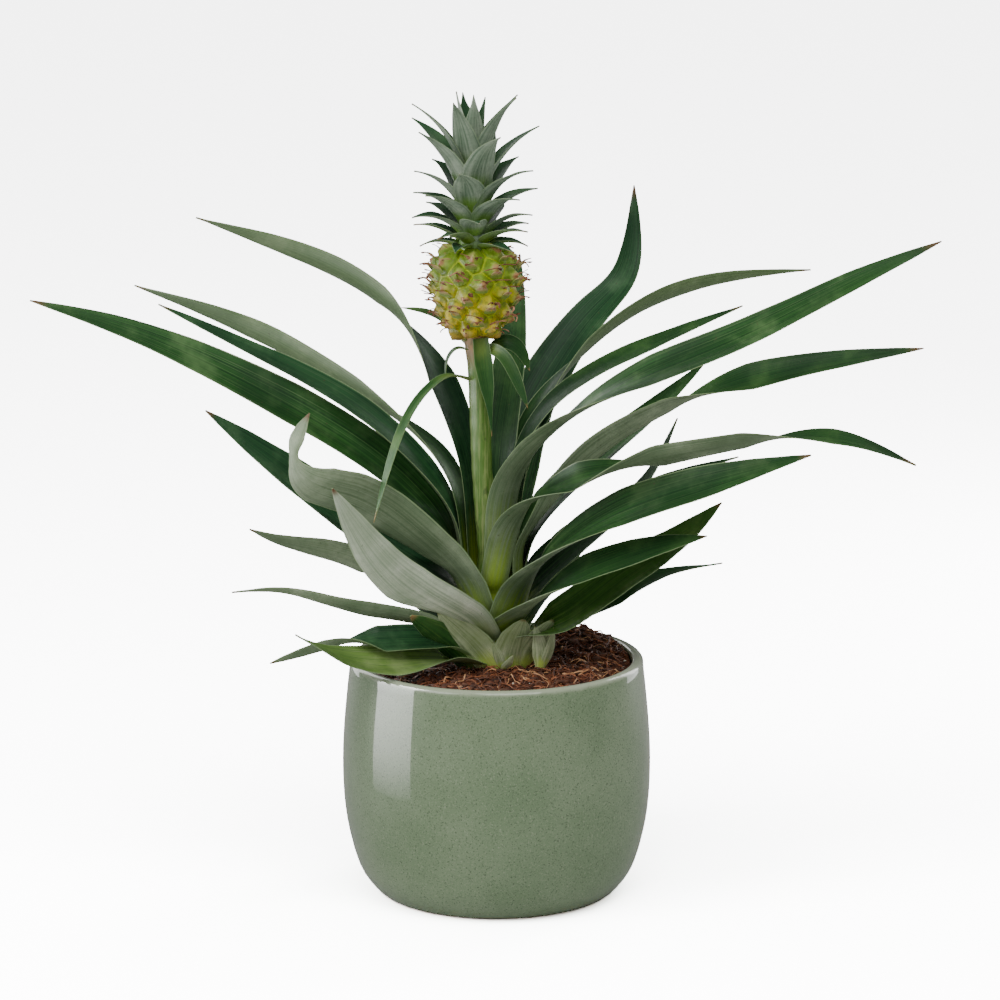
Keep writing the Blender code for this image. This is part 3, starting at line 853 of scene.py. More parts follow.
@dataclass
class Soil:
    """The soil's rough heap with coir fibres, bark chips and white grains on it."""

    centre: float = 121.0
    mound: float = 7.5
    mound_azimuth: float = 45.0
    mound_reach: float = 66.0
    mound_spread: float = 34.0
    dip: float = 1.5
    dip_start: float = 52.0
    lump_size: float = 8.5
    edge_radius: float = 69.6
    skirt: float = 112.0
    bottom: float = 96.0
    taper: float = 1.5
    wall_gap: float = 0.8
    rings: int = 76
    segments: int = 230
    lump_height: float = 2.604
    clear_of_wall: float = 0.975
    clear_of_stock: float = 16.0
    fibre_steps: int = 4
    fibre_length: Point = (5, 15)
    fibre_curl: float = 1.6
    fibre_lift: Point = (0.2, 2.2)
    fibre_width: Point = (0.3, 1.15)
    fibre_thickness: float = 0.25
    fibres: int = 900
    chips: int = 340
    grains: int = 46
    draws: random.Random = field(default_factory=lambda: random.Random(11))

    def surface(self, x: float, y: float) -> float:
        """Height of the soil at a place, in millimetres."""
        heap = math.radians(self.mound_azimuth)
        away = math.hypot(x - self.mound_reach * math.cos(heap), y - self.mound_reach * math.sin(heap))
        level = self.centre + self.mound * math.exp(-(away / self.mound_spread) ** 2)
        level -= self.dip * smooth_step(self.dip_start, self.edge_radius, math.hypot(x, y))
        lumps = noise.fractal(Vector((x, y, 0.0)) / self.lump_size, 0.7, 2.1, 4)
        return level + self.lump_height * lumps

    def ring(self, reach: float, height: float | None = None) -> list[Point]:
        """Points right round at one reach, on the soil's surface unless a height is given."""
        points = []
        for k in range(self.segments + 1):
            angle = -2 * math.pi * (k % self.segments) / self.segments
            x, y = reach * math.cos(angle), reach * math.sin(angle)
            points.append((x, y, self.surface(x, y) if height is None else height))
        return points

    def bed(self, material: bpy.types.Material) -> None:
        """Model and dress the closed plug of soil with its rough top."""
        rows = [self.ring(self.edge_radius * i / (self.rings - 1)) for i in range(self.rings)]
        rows += [self.ring(self.edge_radius, self.skirt),
                 self.ring(self.edge_radius - self.taper, self.bottom), self.ring(0.0, self.bottom)]
        bed = shaped_grid("soil_bed", np.array(rows))
        close_seams(bed)
        bed.data.materials.append(material)
        bpy.ops.object.shade_smooth_by_angle(angle=math.radians(60))
        dress(bed, "soil", "soil")

    def spot(self) -> tuple[float, float]:
        """A random place on the soil that keeps off the wall and the stock."""
        while True:
            reach = self.edge_radius * math.sqrt(self.draws.random()) * self.clear_of_wall
            angle = self.draws.uniform(0, 2 * math.pi)
            if reach > self.clear_of_stock:
                return reach * math.cos(angle), reach * math.sin(angle)

    def fibre(self) -> np.ndarray:
        """One short curled strand as a narrow sheet."""
        x, y = self.spot()
        heading = self.draws.uniform(0, 2 * math.pi)
        length = self.draws.uniform(*self.fibre_length)
        curl = self.draws.uniform(-self.fibre_curl, self.fibre_curl)
        lift = self.draws.uniform(*self.fibre_lift)
        width = self.draws.uniform(*self.fibre_width)
        rows = []
        for i in range(self.fibre_steps + 1):
            share = i / self.fibre_steps
            across = heading + math.pi / 2 + curl * share
            ground = max(self.surface(x, y), self.centre - 3) + 0.35
            height = ground + lift * math.sin(math.pi * share) * share
            side = (width / 2 * math.cos(across), width / 2 * math.sin(across))
            rows.append([(x - side[0], y - side[1], height), (x, y, height + width * 0.5),
                         (x + side[0], y + side[1], height)])
            x += length / self.fibre_steps * math.cos(heading + curl * share)
            y += length / self.fibre_steps * math.sin(heading + curl * share)
            reach = math.hypot(x, y)
            limit = self.edge_radius - self.wall_gap
            if reach > limit:
                x, y = x * limit / reach, y * limit / reach
        return np.array(rows)

    def strands(self, materials: Sequence[bpy.types.Material]) -> None:
        """Model and dress all coir fibres as one piece."""
        def each() -> Iterator[bpy.types.Object]:
            """One fibre after another."""
            for number in range(self.fibres):
                strand = shaped_grid("coir", self.fibre())
                strand.data.materials.append(materials[number % len(materials)])
                yield strand

        coir = gather(each(), "coir_fibres")
        stiffen(coir, self.fibre_thickness)
        bpy.ops.object.shade_smooth()
        dress(coir, "soil", "soil")

    def crumbs(self, name: str, count: int, size: Point, squash: Point,
               material: bpy.types.Material) -> None:
        """Scatter small chips over the soil as one piece.

        Args:
            name: The piece's name.
            count: How many chips.
            size: Least and greatest radius in millimetres.
            squash: Least and greatest flattening.
            material: Their finish.
        """
        def each() -> Iterator[bpy.types.Object]:
            """One chip after another."""
            for _ in range(count):
                x, y = self.spot()
                radius = self.draws.uniform(*size)
                flat = self.draws.uniform(*squash)
                deselect()
                bpy.ops.mesh.primitive_ico_sphere_add(subdivisions=1, radius=1)
                chip = bpy.context.object
                turn = self.draws.uniform(0, math.pi)
                stretch = self.draws.uniform(1.0, 1.9)
                tilt = self.draws.uniform(-0.5, 0.5)
                for vertex in chip.data.vertices:
                    a, b, c = (value * (1 + self.draws.uniform(-0.28, 0.28)) for value in vertex.co)
                    a *= stretch
                    c = c * flat + tilt * a * 0.4
                    vertex.co = Vector((
                        x + radius * (a * math.cos(turn) - b * math.sin(turn)),
                        y + radius * (a * math.sin(turn) + b * math.cos(turn)),
                        self.surface(x, y) + radius * (c + 0.25))) * MM
                yield chip

        piece = gather(each(), name)
        piece.data.materials.append(material)
        dress(piece, "soil", "soil")

    def build(self) -> None:
        """Model and dress everything of the soil."""
        self.bed(SoilFinish().make())
        coir = [PlainFleckFinish("coir_red", srgb(162, 100, 66), srgb(112, 66, 44), 0.5).make(),
                PlainFleckFinish("coir_dark", srgb(116, 68, 46), srgb(72, 42, 29), 0.5).make(),
                PlainFleckFinish("coir_pale", srgb(218, 168, 122), srgb(170, 118, 80), 0.5).make()]
        self.strands([coir[kind] for kind in (0, 1, 1, 0, 1, 0, 2)])
        self.crumbs("bark_chips", self.chips, (0.7, 2.4), (0.3, 0.8),
                    PlainFleckFinish("bark", srgb(104, 66, 46), srgb(62, 37, 26)).make())
        self.crumbs("white_grains", self.grains, (0.3, 0.75), (0.7, 1.0),
                    PlainFleckFinish("grain", srgb(214, 205, 190), srgb(182, 170, 150)).make())


# ---------------------------------------------------------------- rosette

class Upper(Enum):
    """Finishes of a leaf's upper side."""

    DEEP = LeafFinish("leaf_upper_deep", srgb(34, 76, 30), srgb(80, 118, 60), srgb(14, 44, 20))
    BLUE = LeafFinish("leaf_upper_blue", srgb(36, 78, 42), srgb(84, 122, 80), srgb(16, 48, 28))
    BRIGHT = LeafFinish("leaf_upper_bright", srgb(74, 116, 42), srgb(126, 152, 86), srgb(36, 72, 26))
    # A paler copy of the bright upper finish, for leaf 01 alone: partly its own lighter tone, partly painted
    # sheen.
    LIGHT = LeafFinish("leaf_upper_pale_painted_sheen", srgb(110, 142, 66), srgb(164, 180, 122), srgb(66, 98, 42))
    SHADED = LeafFinish("leaf_upper_shaded", srgb(36, 74, 36), srgb(76, 110, 66), srgb(16, 44, 22),
                        roughness=0.62, shine=0.04)
    STRIPED = LeafFinish("leaf_upper_striped", srgb(38, 84, 32), srgb(104, 138, 84), srgb(14, 46, 20),
                         lines=20.0, stripe=0.75)


class Under(Enum):
    """Finishes of a leaf's under side."""

    DUSTY = LeafFinish("leaf_under_dusty", srgb(132, 148, 116), srgb(174, 186, 156), srgb(82, 104, 72),
                       dust=0.5, roughness=0.5, shine=0.12, stripe=0.66)
    PALE = LeafFinish("leaf_under_pale", srgb(196, 206, 180), srgb(230, 232, 216), srgb(126, 146, 114),
                      dust=0.5, roughness=0.52, lines=20.0, base_share=0.6)
    FRESH = LeafFinish("leaf_under_fresh", srgb(104, 130, 84), srgb(150, 168, 126), srgb(64, 92, 50),
                       dust=0.35, roughness=0.46, stripe=0.6)
    SHADED = LeafFinish("leaf_under_shaded", srgb(64, 92, 58), srgb(108, 130, 96), srgb(34, 60, 36),
                        dust=0.3, roughness=0.62, shine=0.04, stripe=0.6)


WIDTH_ALONG = ((0, 0.8), (0.12, 0.96), (0.3, 1), (0.5, 0.93), (0.7, 0.72), (0.85, 0.44), (0.95, 0.18),
               (1, 0.02))
LONG_TAIL = ((0, 0.8), (0.12, 0.9), (0.3, 1), (0.5, 0.95), (0.62, 0.7), (0.72, 0.42), (0.85, 0.3),
             (0.95, 0.14), (1, 0.02))
THIN_BLADE = ((0, 0.9), (0.2, 0.95), (0.45, 0.9), (0.6, 0.62), (0.75, 0.4), (0.9, 0.24), (1, 0.03))
HOOKED = ((0, 0.8), (0.12, 0.98), (0.3, 1), (0.52, 1.06), (0.63, 1.16), (0.72, 1.02), (0.78, 0.66),
          (0.83, 0.26), (0.86, 0.15), (0.91, 0.28), (0.955, 0.2), (1, 0.02))
CHANNEL_ALONG = ((0, 58), (0.25, 40), (0.5, 30), (0.75, 18), (1, 8))


@dataclass(frozen=True)
class Leaf:
    """One rosette leaf; its course holds (azimuth, reach, height) points after its base."""

    name: str
    width: float
    base_azimuth: float
    course: tuple[Point, ...]
    rolls: Point = (0.0,)
    upper: Upper = Upper.DEEP
    under: Under = Under.DUSTY
    widths: tuple[Point, ...] = WIDTH_ALONG


IN_SHADE = {"upper": Upper.SHADED, "under": Under.SHADED}
LEAVES = (
    # Leaf 01's upper side wears the paler finish with painted sheen.
    Leaf("leaf_01_over_rim", 26, 226,
         ((222, 30, 127), (220, 50, 129.5), (219, 72, 132), (216, 97, 139), (213, 119, 152)),
         (10, -10, -35, -30, 0), Upper.LIGHT, Under.FRESH),
    Leaf("leaf_02_low_front_left", 20, 218,
         ((216, 30, 135), (213, 64, 141), (209, 91, 142), (205, 125, 134)), (0, -30, -35, 60, 80),
         Upper.BLUE, Under.DUSTY, LONG_TAIL),
    Leaf("leaf_03_low_back_left", 24, 148,
         ((146, 30, 137), (143, 60, 151), (140, 92, 161)), under=Under.SHADED),
    Leaf("leaf_04_narrow_left", 10.5, 200,
         ((200, 27, 141), (200, 65, 154), (200, 91, 162), (200, 115, 169), (200, 141, 170)),
         (0, 60, 70, 75, 60), Upper.DEEP, Under.DUSTY, THIN_BLADE),
    Leaf("leaf_05_narrow_right", 16, 12,
         ((8, 30, 137), (8, 56, 150), (7, 85, 164), (6, 120, 171)), (0, 15, 40, 10, -10), under=Under.SHADED),
    Leaf("leaf_06_low_back_right", 28, 62,
         ((60, 30, 141), (62, 70, 158), (66, 110, 168), (70, 140, 168)), **IN_SHADE),
    Leaf("leaf_07_broad_right", 28, 333,
         ((335, 24, 140), (337, 42, 149), (339, 70, 172), (342, 95, 190), (345, 121, 213)),
         (10, 45, 52, 50, 60), Upper.BRIGHT),
    Leaf("leaf_08_low_back", 28, 100,
         ((98, 30, 144), (97, 75, 170), (95, 115, 187), (93, 150, 190)), **IN_SHADE),
    Leaf("leaf_09_pale_front", 28, 245,
         ((243, 28, 149), (240, 51, 161), (237, 77, 176), (234, 101, 198), (232, 129, 236)),
         (0, 20, 45, 45, 40), Upper.DEEP, Under.PALE),
    Leaf("leaf_10_short_left", 20, 186,
         ((187, 24, 151), (188, 41, 161), (190, 75, 180), (191, 111, 191), (192, 127, 198)),
         (0, 0, 55, 55, 50)),
    Leaf("leaf_11_low_front_right", 26, 298,
         ((306, 23, 150), (314, 48, 169), (324, 77, 186), (331, 100, 195), (335, 120, 200)),
         (0, 20, 40, 45, 40), Upper.DEEP),
    Leaf("leaf_12_dark_left", 28, 188,
         ((190, 22, 161), (192, 49, 182), (194, 88, 212), (195, 130, 246), (196, 151, 263)),
         (0, -40, -50, -50, -50), Upper.BLUE),
    Leaf("leaf_13_low_right", 28, 37,
         ((35, 28, 158), (34, 70, 185), (32, 110, 205), (30, 150, 214)), **IN_SHADE),
    Leaf("leaf_14_striped_right", 30, 308,
         ((314, 22, 164), (318, 44, 187), (325, 82, 212), (331, 130, 232), (335, 176, 247)),
         (0, 25, 45, 50, 40), Upper.STRIPED),
    Leaf("leaf_15_mid_back", 28, 118,
         ((118, 28, 164), (118, 65, 186), (118, 105, 205), (116, 150, 214)), **IN_SHADE),
    Leaf("leaf_16_upright_right", 24, 12,
         ((11, 25, 172), (11, 43, 185), (10, 62, 198), (10, 80, 213), (10, 97, 247)), **IN_SHADE),
    Leaf("leaf_17_hooked_left", 32, 221,
         ((217, 21, 168), (216, 33, 180), (214, 56, 199), (211, 83, 217), (208, 105, 227), (206, 112, 242),
          (205, 102, 262)), (0, 20, 40, 40, 30), Upper.DEEP, Under.DUSTY, HOOKED),
    Leaf("leaf_18_mid_back", 28, 80,
         ((78, 21, 178), (76, 45, 206), (74, 80, 234), (72, 120, 248)), **IN_SHADE),
    Leaf("leaf_19_great_left", 28, 178,
         ((179, 21.5, 184), (179, 33, 202), (181, 61, 229), (184, 114, 264), (186, 178, 297),
          (188, 236, 318)),
         (0, -35, -45, -40, -40), Upper.STRIPED),
    Leaf("leaf_20_mid_right", 25, 21, ((21, 20, 184), (18, 50, 220), (17, 90, 252), (15, 115, 275)),
         (0, 10, 20, 20, 20)),
    Leaf("leaf_21_upper_left", 24, 171,
         ((173, 19, 192), (174, 32, 217), (175, 66, 251), (178, 115, 281), (180, 171, 310)),
         (0, -10, -18, -18, -20), Upper.BLUE),
    Leaf("leaf_22_twisted_right", 24, 344,
         ((347, 16, 183), (352, 26, 201), (357, 48, 228), (0, 106, 262), (0, 165, 279), (0, 221, 287)),
         (0, -30, -40, -30, 40, 45, 40), Upper.DEEP),
    Leaf("leaf_23_tall_right", 27, 76,
         ((70, 17, 190), (66, 27, 226), (62, 66, 265), (57, 100, 292), (54, 120, 310), (52, 121, 356)),
         (0, 10, 20, 20, 30), Upper.BLUE, Under.SHADED),
    Leaf("leaf_24_front_right", 24, 273,
         ((283, 15.5, 181), (295, 22.5, 200), (312, 44, 219), (326, 90, 237), (335, 130, 247),
          (341, 180, 253), (345, 221, 238)), (0, 10, 45, -35, -35, 30, 35), Upper.DEEP),
    Leaf("leaf_25_pale_left", 22, 148,
         ((147, 17.4, 192), (147, 28, 221), (150, 73, 252), (159, 130, 286), (167, 191, 312)),
         (0, 0, 48, 68, 52), Upper.DEEP, Under.FRESH),
    Leaf("leaf_26_pale_right", 22, 48,
         ((46, 14.6, 190), (46, 23, 231), (43, 52, 267), (38, 100, 297), (33, 144, 309), (28, 190, 312)),
         (0, 0, -45, -50, -40), Upper.DEEP, Under.FRESH),
    Leaf("leaf_27_high_left", 24, 134,
         ((130, 14.6, 192), (133, 18, 222), (139, 29, 252), (147, 64, 302), (156, 110, 329), (165, 159, 348)),
         (0, 0, 0, 56, 64, 56), Upper.BLUE, Under.FRESH),
    Leaf("leaf_28_great_right", 28, 283,
         ((288, 13.4, 192), (296, 17, 217), (308, 30, 237), (322, 75, 272), (333, 138, 304), (340, 190, 333),
          (345, 232, 353)), (0, 0, 40, 45, 60), Upper.STRIPED),
    Leaf("leaf_29_behind_fruit", 22, 86,
         ((84, 11.6, 192), (82, 15.5, 228), (80, 43, 262), (80, 70, 292), (80, 82, 322)), under=Under.SHADED),
    Leaf("leaf_30_inner_right", 20, 4,
         ((8, 10.2, 192), (10, 12.5, 224), (14, 34, 258), (13, 85, 286), (10, 131, 305)),
         (0, 0, 5, 20, 20), under=Under.SHADED),
)


@dataclass
class Rosette:
    """The thirty rosette leaves, in their order up the stock."""

    stations: int = 84
    columns: int = 15
    thickness: float = 0.9
    first_base: float = 123.0
    base_step: float = 1.65
    base_reaches: Point = (14.1, 9.1)
    wrap_limit: float = 64.0
    inner_base_width: float = 0.66
    ripple: float = 0.5
    sheath_rows: int = 9
    sheath_foot: float = 119.5
    sheath_depth: float = 26.0
    stock_radii: tuple[Point, ...] = ((122, 13.2), (171, 8.3))
    flare_along: tuple[Point, ...] = ((0, 3.8), (12, 5.0), (20, 5.0), (29, 1.0))
    climb_along: tuple[Point, ...] = ((0, 0.3), (15, 1.6))

    def stock(self, height: float) -> float:
        """The stock's radius at a height."""
        return along_table(self.stock_radii, height)

    def base_reach(self, place: int) -> float:
        """How far from the plant's axis a leaf's base lies."""
        return float(np.interp(place, (0, len(LEAVES) - 1), self.base_reaches))

    def slimmer(self, place: int, share: float = 0.0) -> float:
        """The narrowing of the upper leaves towards their bases."""
        return 1 + (self.inner_base_width - 1) * smooth_step(16, 26, place) * smooth_step(0.4, 0.2, share)

    def course(self, leaf: Leaf, place: int) -> list[Point]:
        """A leaf's points in x, y, z.

        Args:
            leaf: The leaf.
            place: Its place on the stock, counted from the lowest.

        Returns:
            Two points at its base and then its own.
        """
        base = self.first_base + self.base_step * place
        reach = self.base_reach(place)
        flare = along_table(self.flare_along, place)
        climb = along_table(self.climb_along, place)
        polar = ((leaf.base_azimuth, reach, base), (leaf.base_azimuth, reach + flare, base + flare * climb),
                 *leaf.course)
        return [(PLANT_X + r * math.cos(math.radians(a)), r * math.sin(math.radians(a)), z)
                for a, r, z in polar]

    def wrapped(self, centre: np.ndarray, width: float) -> np.ndarray:
        """A cross-section that clasps the stock: an arc about the plant's axis."""
        x, y = centre[0] - PLANT_X, centre[1]
        reach = max(math.hypot(x, y), 6.0)
        half = min(width / (2 * reach), math.radians(self.wrap_limit))
        angles = math.atan2(y, x) + half * np.linspace(-1, 1, self.columns)
        return np.stack([PLANT_X + reach * np.cos(angles), reach * np.sin(angles),
                         np.full(self.columns, centre[2])], axis=1)

    def sheet(self, leaf: Leaf, place: int) -> np.ndarray:
        """The points of a leaf's middle surface.

        Args:
            leaf: The leaf.
            place: Its place on the stock.

        Returns:
            Rows along by columns across of points.
        """
        course = smooth_course(self.course(leaf, place), self.stations)
        tangents = np.gradient(course, axis=0)
        spread = np.linspace(-1, 1, self.columns)
        rows = []
        for i, centre in enumerate(course):
            share = i / (self.stations - 1)
            x, y = centre[0] - PLANT_X, centre[1]
            reach = math.hypot(x, y)
            across = np.array((-y, x, 0.0)) / reach
            width = leaf.width * along_table(leaf.widths, share) * self.slimmer(place, share)
            roll = float(np.interp(share, np.linspace(0, 1, len(leaf.rolls)), leaf.rolls))
            free = max(smooth_step(14, 36, reach), smooth_step(0.3, 0.5, share))
            row = channel_section(centre, unit(tangents[i]), across, width,
                                  along_table(CHANNEL_ALONG, share), roll, self.columns)
            row = self.wrapped(centre, width) * (1 - free) + row * free
            normal = unit(np.cross(tangents[i], row[-1] - row[0]))
            wave = [noise.noise(Vector((share * 7 + place * 3.7, side * 1.3, 0.5))) * abs(side) ** 1.5
                    for side in spread]
            rows.append(row + np.outer(self.ripple * free * np.array(wave), normal))
        return np.array([*self.sheath(leaf, place, course[0]), *rows])

    def sheath(self, leaf: Leaf, place: int, base: np.ndarray) -> list[np.ndarray]:
        """The rows below a leaf's base, where it clasps the stock down towards the soil.

        Args:
            leaf: The leaf.
            place: Its place on the stock.
            base: The middle of the leaf's first row.

        Returns:
            The rows from the lowest up.
        """
        angle = math.radians(leaf.base_azimuth)
        foot = max(self.sheath_foot, base[2] - self.sheath_depth)
        rows = []
        for share in np.linspace(0, 1, self.sheath_rows, endpoint=False):
            height = foot + (base[2] - foot) * share
            start = self.base_reach(place) - self.stock(base[2])
            gap = 0.25 + 0.02 * (len(LEAVES) - place)
            reach = self.stock(height) + gap * (1 - share) + start * share
            centre = np.array((PLANT_X + reach * math.cos(angle), reach * math.sin(angle), height))
            width = leaf.width * along_table(leaf.widths, 0) * (1.3 - 0.3 * share)
            rows.append(self.wrapped(centre, width * self.slimmer(place)))
        return rows

    def build(self) -> None:
        """Model and dress all the leaves."""
        finishes = {choice: choice.value.make() for choice in (*Upper, *Under)}
        edge = PlainFleckFinish("leaf_margin", srgb(138, 160, 112), srgb(116, 142, 96), 0.5).make()
        for place, leaf in enumerate(LEAVES):
            blade = shaped_grid(f"{leaf.name}_blade", self.sheet(leaf, place))
            thicken(blade, self.thickness, (finishes[leaf.upper], finishes[leaf.under], edge))
            dress(blade, "leaf", leaf.name)


# ---------------------------------------------------------------- flower stalk and its small leaves

@dataclass(frozen=True)
class Blade:
    """A small leaf through (x, y, z) points; its width lies across its course or along a set direction."""

    name: str
    width: float
    course: tuple[Point, ...]
    across: Point | None = None
    widths: tuple[Point, ...] = WIDTH_ALONG


STRAP = ((0, 0.9), (0.25, 1), (0.5, 0.74), (0.68, 0.36), (0.85, 0.16), (1, 0.03))
BRACTS = (
    Blade("stalk_bract_front", 10.0,
          ((-8.4, -6.9, 293.6), (-6.8, -8.5, 281), (-4, -9.4, 262), (-2.4, -9.4, 243)), (1, 0.15, 0), STRAP),
    Blade("stalk_bract_left", 4.5,
          ((-15.6, -5.4, 287.5), (-20.5, -9, 288.5), (-25, -9, 283), (-26, -9, 273))),
    Blade("stalk_bract_long", 6.8,
          ((-14.4, -5, 271.5), (-25, -14, 275), (-39, -26, 266), (-51, -40, 245), (-62, -55, 208))),
    Blade("stalk_bract_right", 7.0, ((-4.2, -5.2, 288), (3, -10, 286), (10, -11, 274), (16, -11, 258)),
          (0.8, -0.2, 0.5)),
    Blade("stalk_bract_back", 9.0, ((-2.7, 3.8, 285), (4, 5, 289), (11, 6, 286), (17, 6, 274)),
          (0.5, 0.5, 0.6)),
    Blade("stalk_bract_far_left", 4.8, ((-14, 5, 288.5), (-23, 13, 297), (-34, 15, 303), (-49, 12, 306)),
          (0.1, 0.7, 0.7)),
)
FLAME = ((0, 0.55), (0.3, 1), (0.55, 0.9), (0.8, 0.5), (0.93, 0.2), (1, 0.03))
SCALE = ((0, 1), (0.4, 1.05), (0.7, 0.85), (0.9, 0.45), (1, 0.1))
SHOOTS = (
    Blade("base_shoot_right", 9.5, ((22.5, -17, 122), (23.0, -18.0, 131), (19.5, -18, 145)),
          (1, 0.2, 0), FLAME),
    Blade("base_shoot_front", 6.5, ((2.5, -15.5, 121.7), (1, -18, 128), (-2, -19.5, 137)),
          (1, 0.1, 0), FLAME),
)
EXTRA_SHOOTS = (
    Blade("base_shoot_right_inner", 7.0, ((23.5, -15.5, 121), (27, -17, 130), (29.5, -17.5, 144)),
          (0.8, 0.5, 0.2), FLAME),
    Blade("base_shoot_front_inner", 5.5, ((3, -17, 121), (6, -19, 125), (8.5, -20, 130)), (1, 0.3, 0), FLAME),
    Blade("base_scale_left", 17.0, ((-1, -15.5, 119.5), (-8, -19.5, 131), (-19, -24, 144), (-30, -27, 155)),
          (0.76, -0.2, 0.62), SCALE),
    Blade("base_scale_middle", 21.0, ((7, -13.5, 119.5), (9, -17, 133), (14, -20.5, 149)),
          (1, 0.35, 0.1), SCALE),
    Blade("base_leaf_dark", 17.0, ((-9, -12, 119.5), (-17, -17, 129), (-29, -23, 141), (-44, -29, 153)),
          (0.6, -0.3, 0.7), SCALE),
    Blade("base_scale_right", 16.0, ((14, -9.5, 119.5), (19.5, -13, 133), (29, -17, 148)),
          (0.8, 0.6, -0.35), SCALE),
)


@dataclass
class FlowerStalk:
    """The stock and stalk in one, with the bracts under the fruit and the shoots at the foot."""

    sides: int = 40
    rings: int = 90
    stations: int = 40
    columns: int = 9
    thickness: float = 0.7
    flatness: float = 0.8
    radii: tuple[Point, ...] = (
        (98, 10.5), (102, 13.2), (122, 13.2), (171, 8.3), (175, 7.3), (183, 6.1), (201, 5.5), (225, 5.3),
        (250, 5.4), (275, 5.4), (289.7, 6.0), (294.5, 7.0))
    course: tuple[Point, ...] = (
        (98, -2.0), (171, -2.0), (175, -2.6), (183, -4.0), (201, -6.0), (225, -7.7), (250, -8.4), (275, -9.2),
        (289.7, -10.2), (294.5, -10.6))

    def stem(self, material: bpy.types.Material) -> None:
        """Model and dress the stem."""
        low, high = self.radii[0][0], self.radii[-1][0]
        rows = []
        for height in np.linspace(low, high, self.rings):
            middle, radius = along_table(self.course, height), along_table(self.radii, height)
            ring = []
            for k in range(self.sides + 1):
                angle = 2 * math.pi * k / self.sides
                rib = 1 + 0.03 * math.cos(5 * angle + height * 0.03) + 0.02 * math.sin(height * 0.5 + angle)
                ring.append((middle + radius * rib * math.cos(angle), radius * rib * math.sin(angle), height))
            rows.append(ring)
        foot, top = ([(along_table(self.course, height), 0.0, height)] * (self.sides + 1)
                     for height in (low, high))
        stem = shaped_grid("flower_stem", np.array([foot, *rows, top]))
        close_seams(stem)
        stem.data.materials.append(material)
        bpy.ops.object.shade_smooth_by_angle(angle=math.radians(50))
        dress(stem, "stalk", "stem")

    def blade(self, blade: Blade, materials: Sequence[bpy.types.Material]) -> None:
        """Model and dress one small leaf.

        Args:
            blade: The leaf.
            materials: The upper side's, the under side's and the margin's material.
        """
        rows = []
        course = smooth_course(blade.course, self.stations)
        tangents = np.gradient(course, axis=0)
        outward = course[-1] - course[0]
        across = unit(np.array(blade.across or (-outward[1], outward[0], 0.0)))
        for i, centre in enumerate(course):
            share = i / (self.stations - 1)
            width = blade.width * along_table(blade.widths, share)
            arc = along_table(CHANNEL_ALONG, share) * self.flatness
            rows.append(channel_section(centre, unit(tangents[i]), across, width, arc, 0.0, self.columns))
        piece = shaped_grid(f"{blade.name}_blade", np.array(rows))
        thicken(piece, self.thickness, materials)
        dress(piece, "bract", *(() if blade in EXTRA_SHOOTS else (blade.name,)))

    def build(self) -> None:
        """Model and dress the stalk and everything on it."""
        self.stem(StalkFinish().make())
        upper = LeafFinish("bract_upper", srgb(52, 96, 42), srgb(104, 140, 66), srgb(28, 66, 30),
                           base=srgb(128, 148, 66), base_share=0.45, tip=srgb(150, 122, 80),
                           tip_start=0.92, lines=9.0).make()
        under = LeafFinish("bract_under", srgb(86, 124, 66), srgb(138, 164, 104), srgb(58, 92, 48),
                           base=srgb(160, 166, 96), tip=srgb(160, 130, 88), tip_start=0.92, lines=9.0,
                           roughness=0.45).make()
        edge = PlainFleckFinish("bract_margin", srgb(128, 152, 90), srgb(100, 128, 70), 0.55).make()
        for bract in BRACTS:
            self.blade(bract, (upper, under, edge))
        young = LeafFinish("shoot", srgb(180, 192, 152), srgb(216, 220, 192), srgb(112, 134, 80),
                           base=srgb(182, 206, 88), base_end=0.36, tip=srgb(128, 126, 82), lines=12.0,
                           dust=0.35, stripe=0.8, tip_start=0.94).make()
        for shoot in (*SHOOTS, *EXTRA_SHOOTS):
            self.blade(shoot, (upper, upper, edge) if "dark" in shoot.name else (young, young, edge))


# ---------------------------------------------------------------- fruit

@dataclass(frozen=True)
class HuskKind:
    """One kind of husk on the eyes; drop, length, width and lift are least and greatest values."""

    name: str
    count: int
    dry: bool
    thickness: float
    drop: Point
    length: Point
    width: Point
    lift: Point
    scatter: float
    twist: float


BROAD_BRACT = HuskKind("fruit_bracts", 1, False, 0.45, (3.0, 4.0), (7.0, 10.0), (5.5, 8.0), (0.8, 1.9), 1, 1)
DRY_STRAND = HuskKind("fruit_husks", 2, True, 0.25, (-1.6, 1.2), (4.5, 8.0), (1.4, 3.0), (0.6, 3.2), 3.5, 4)


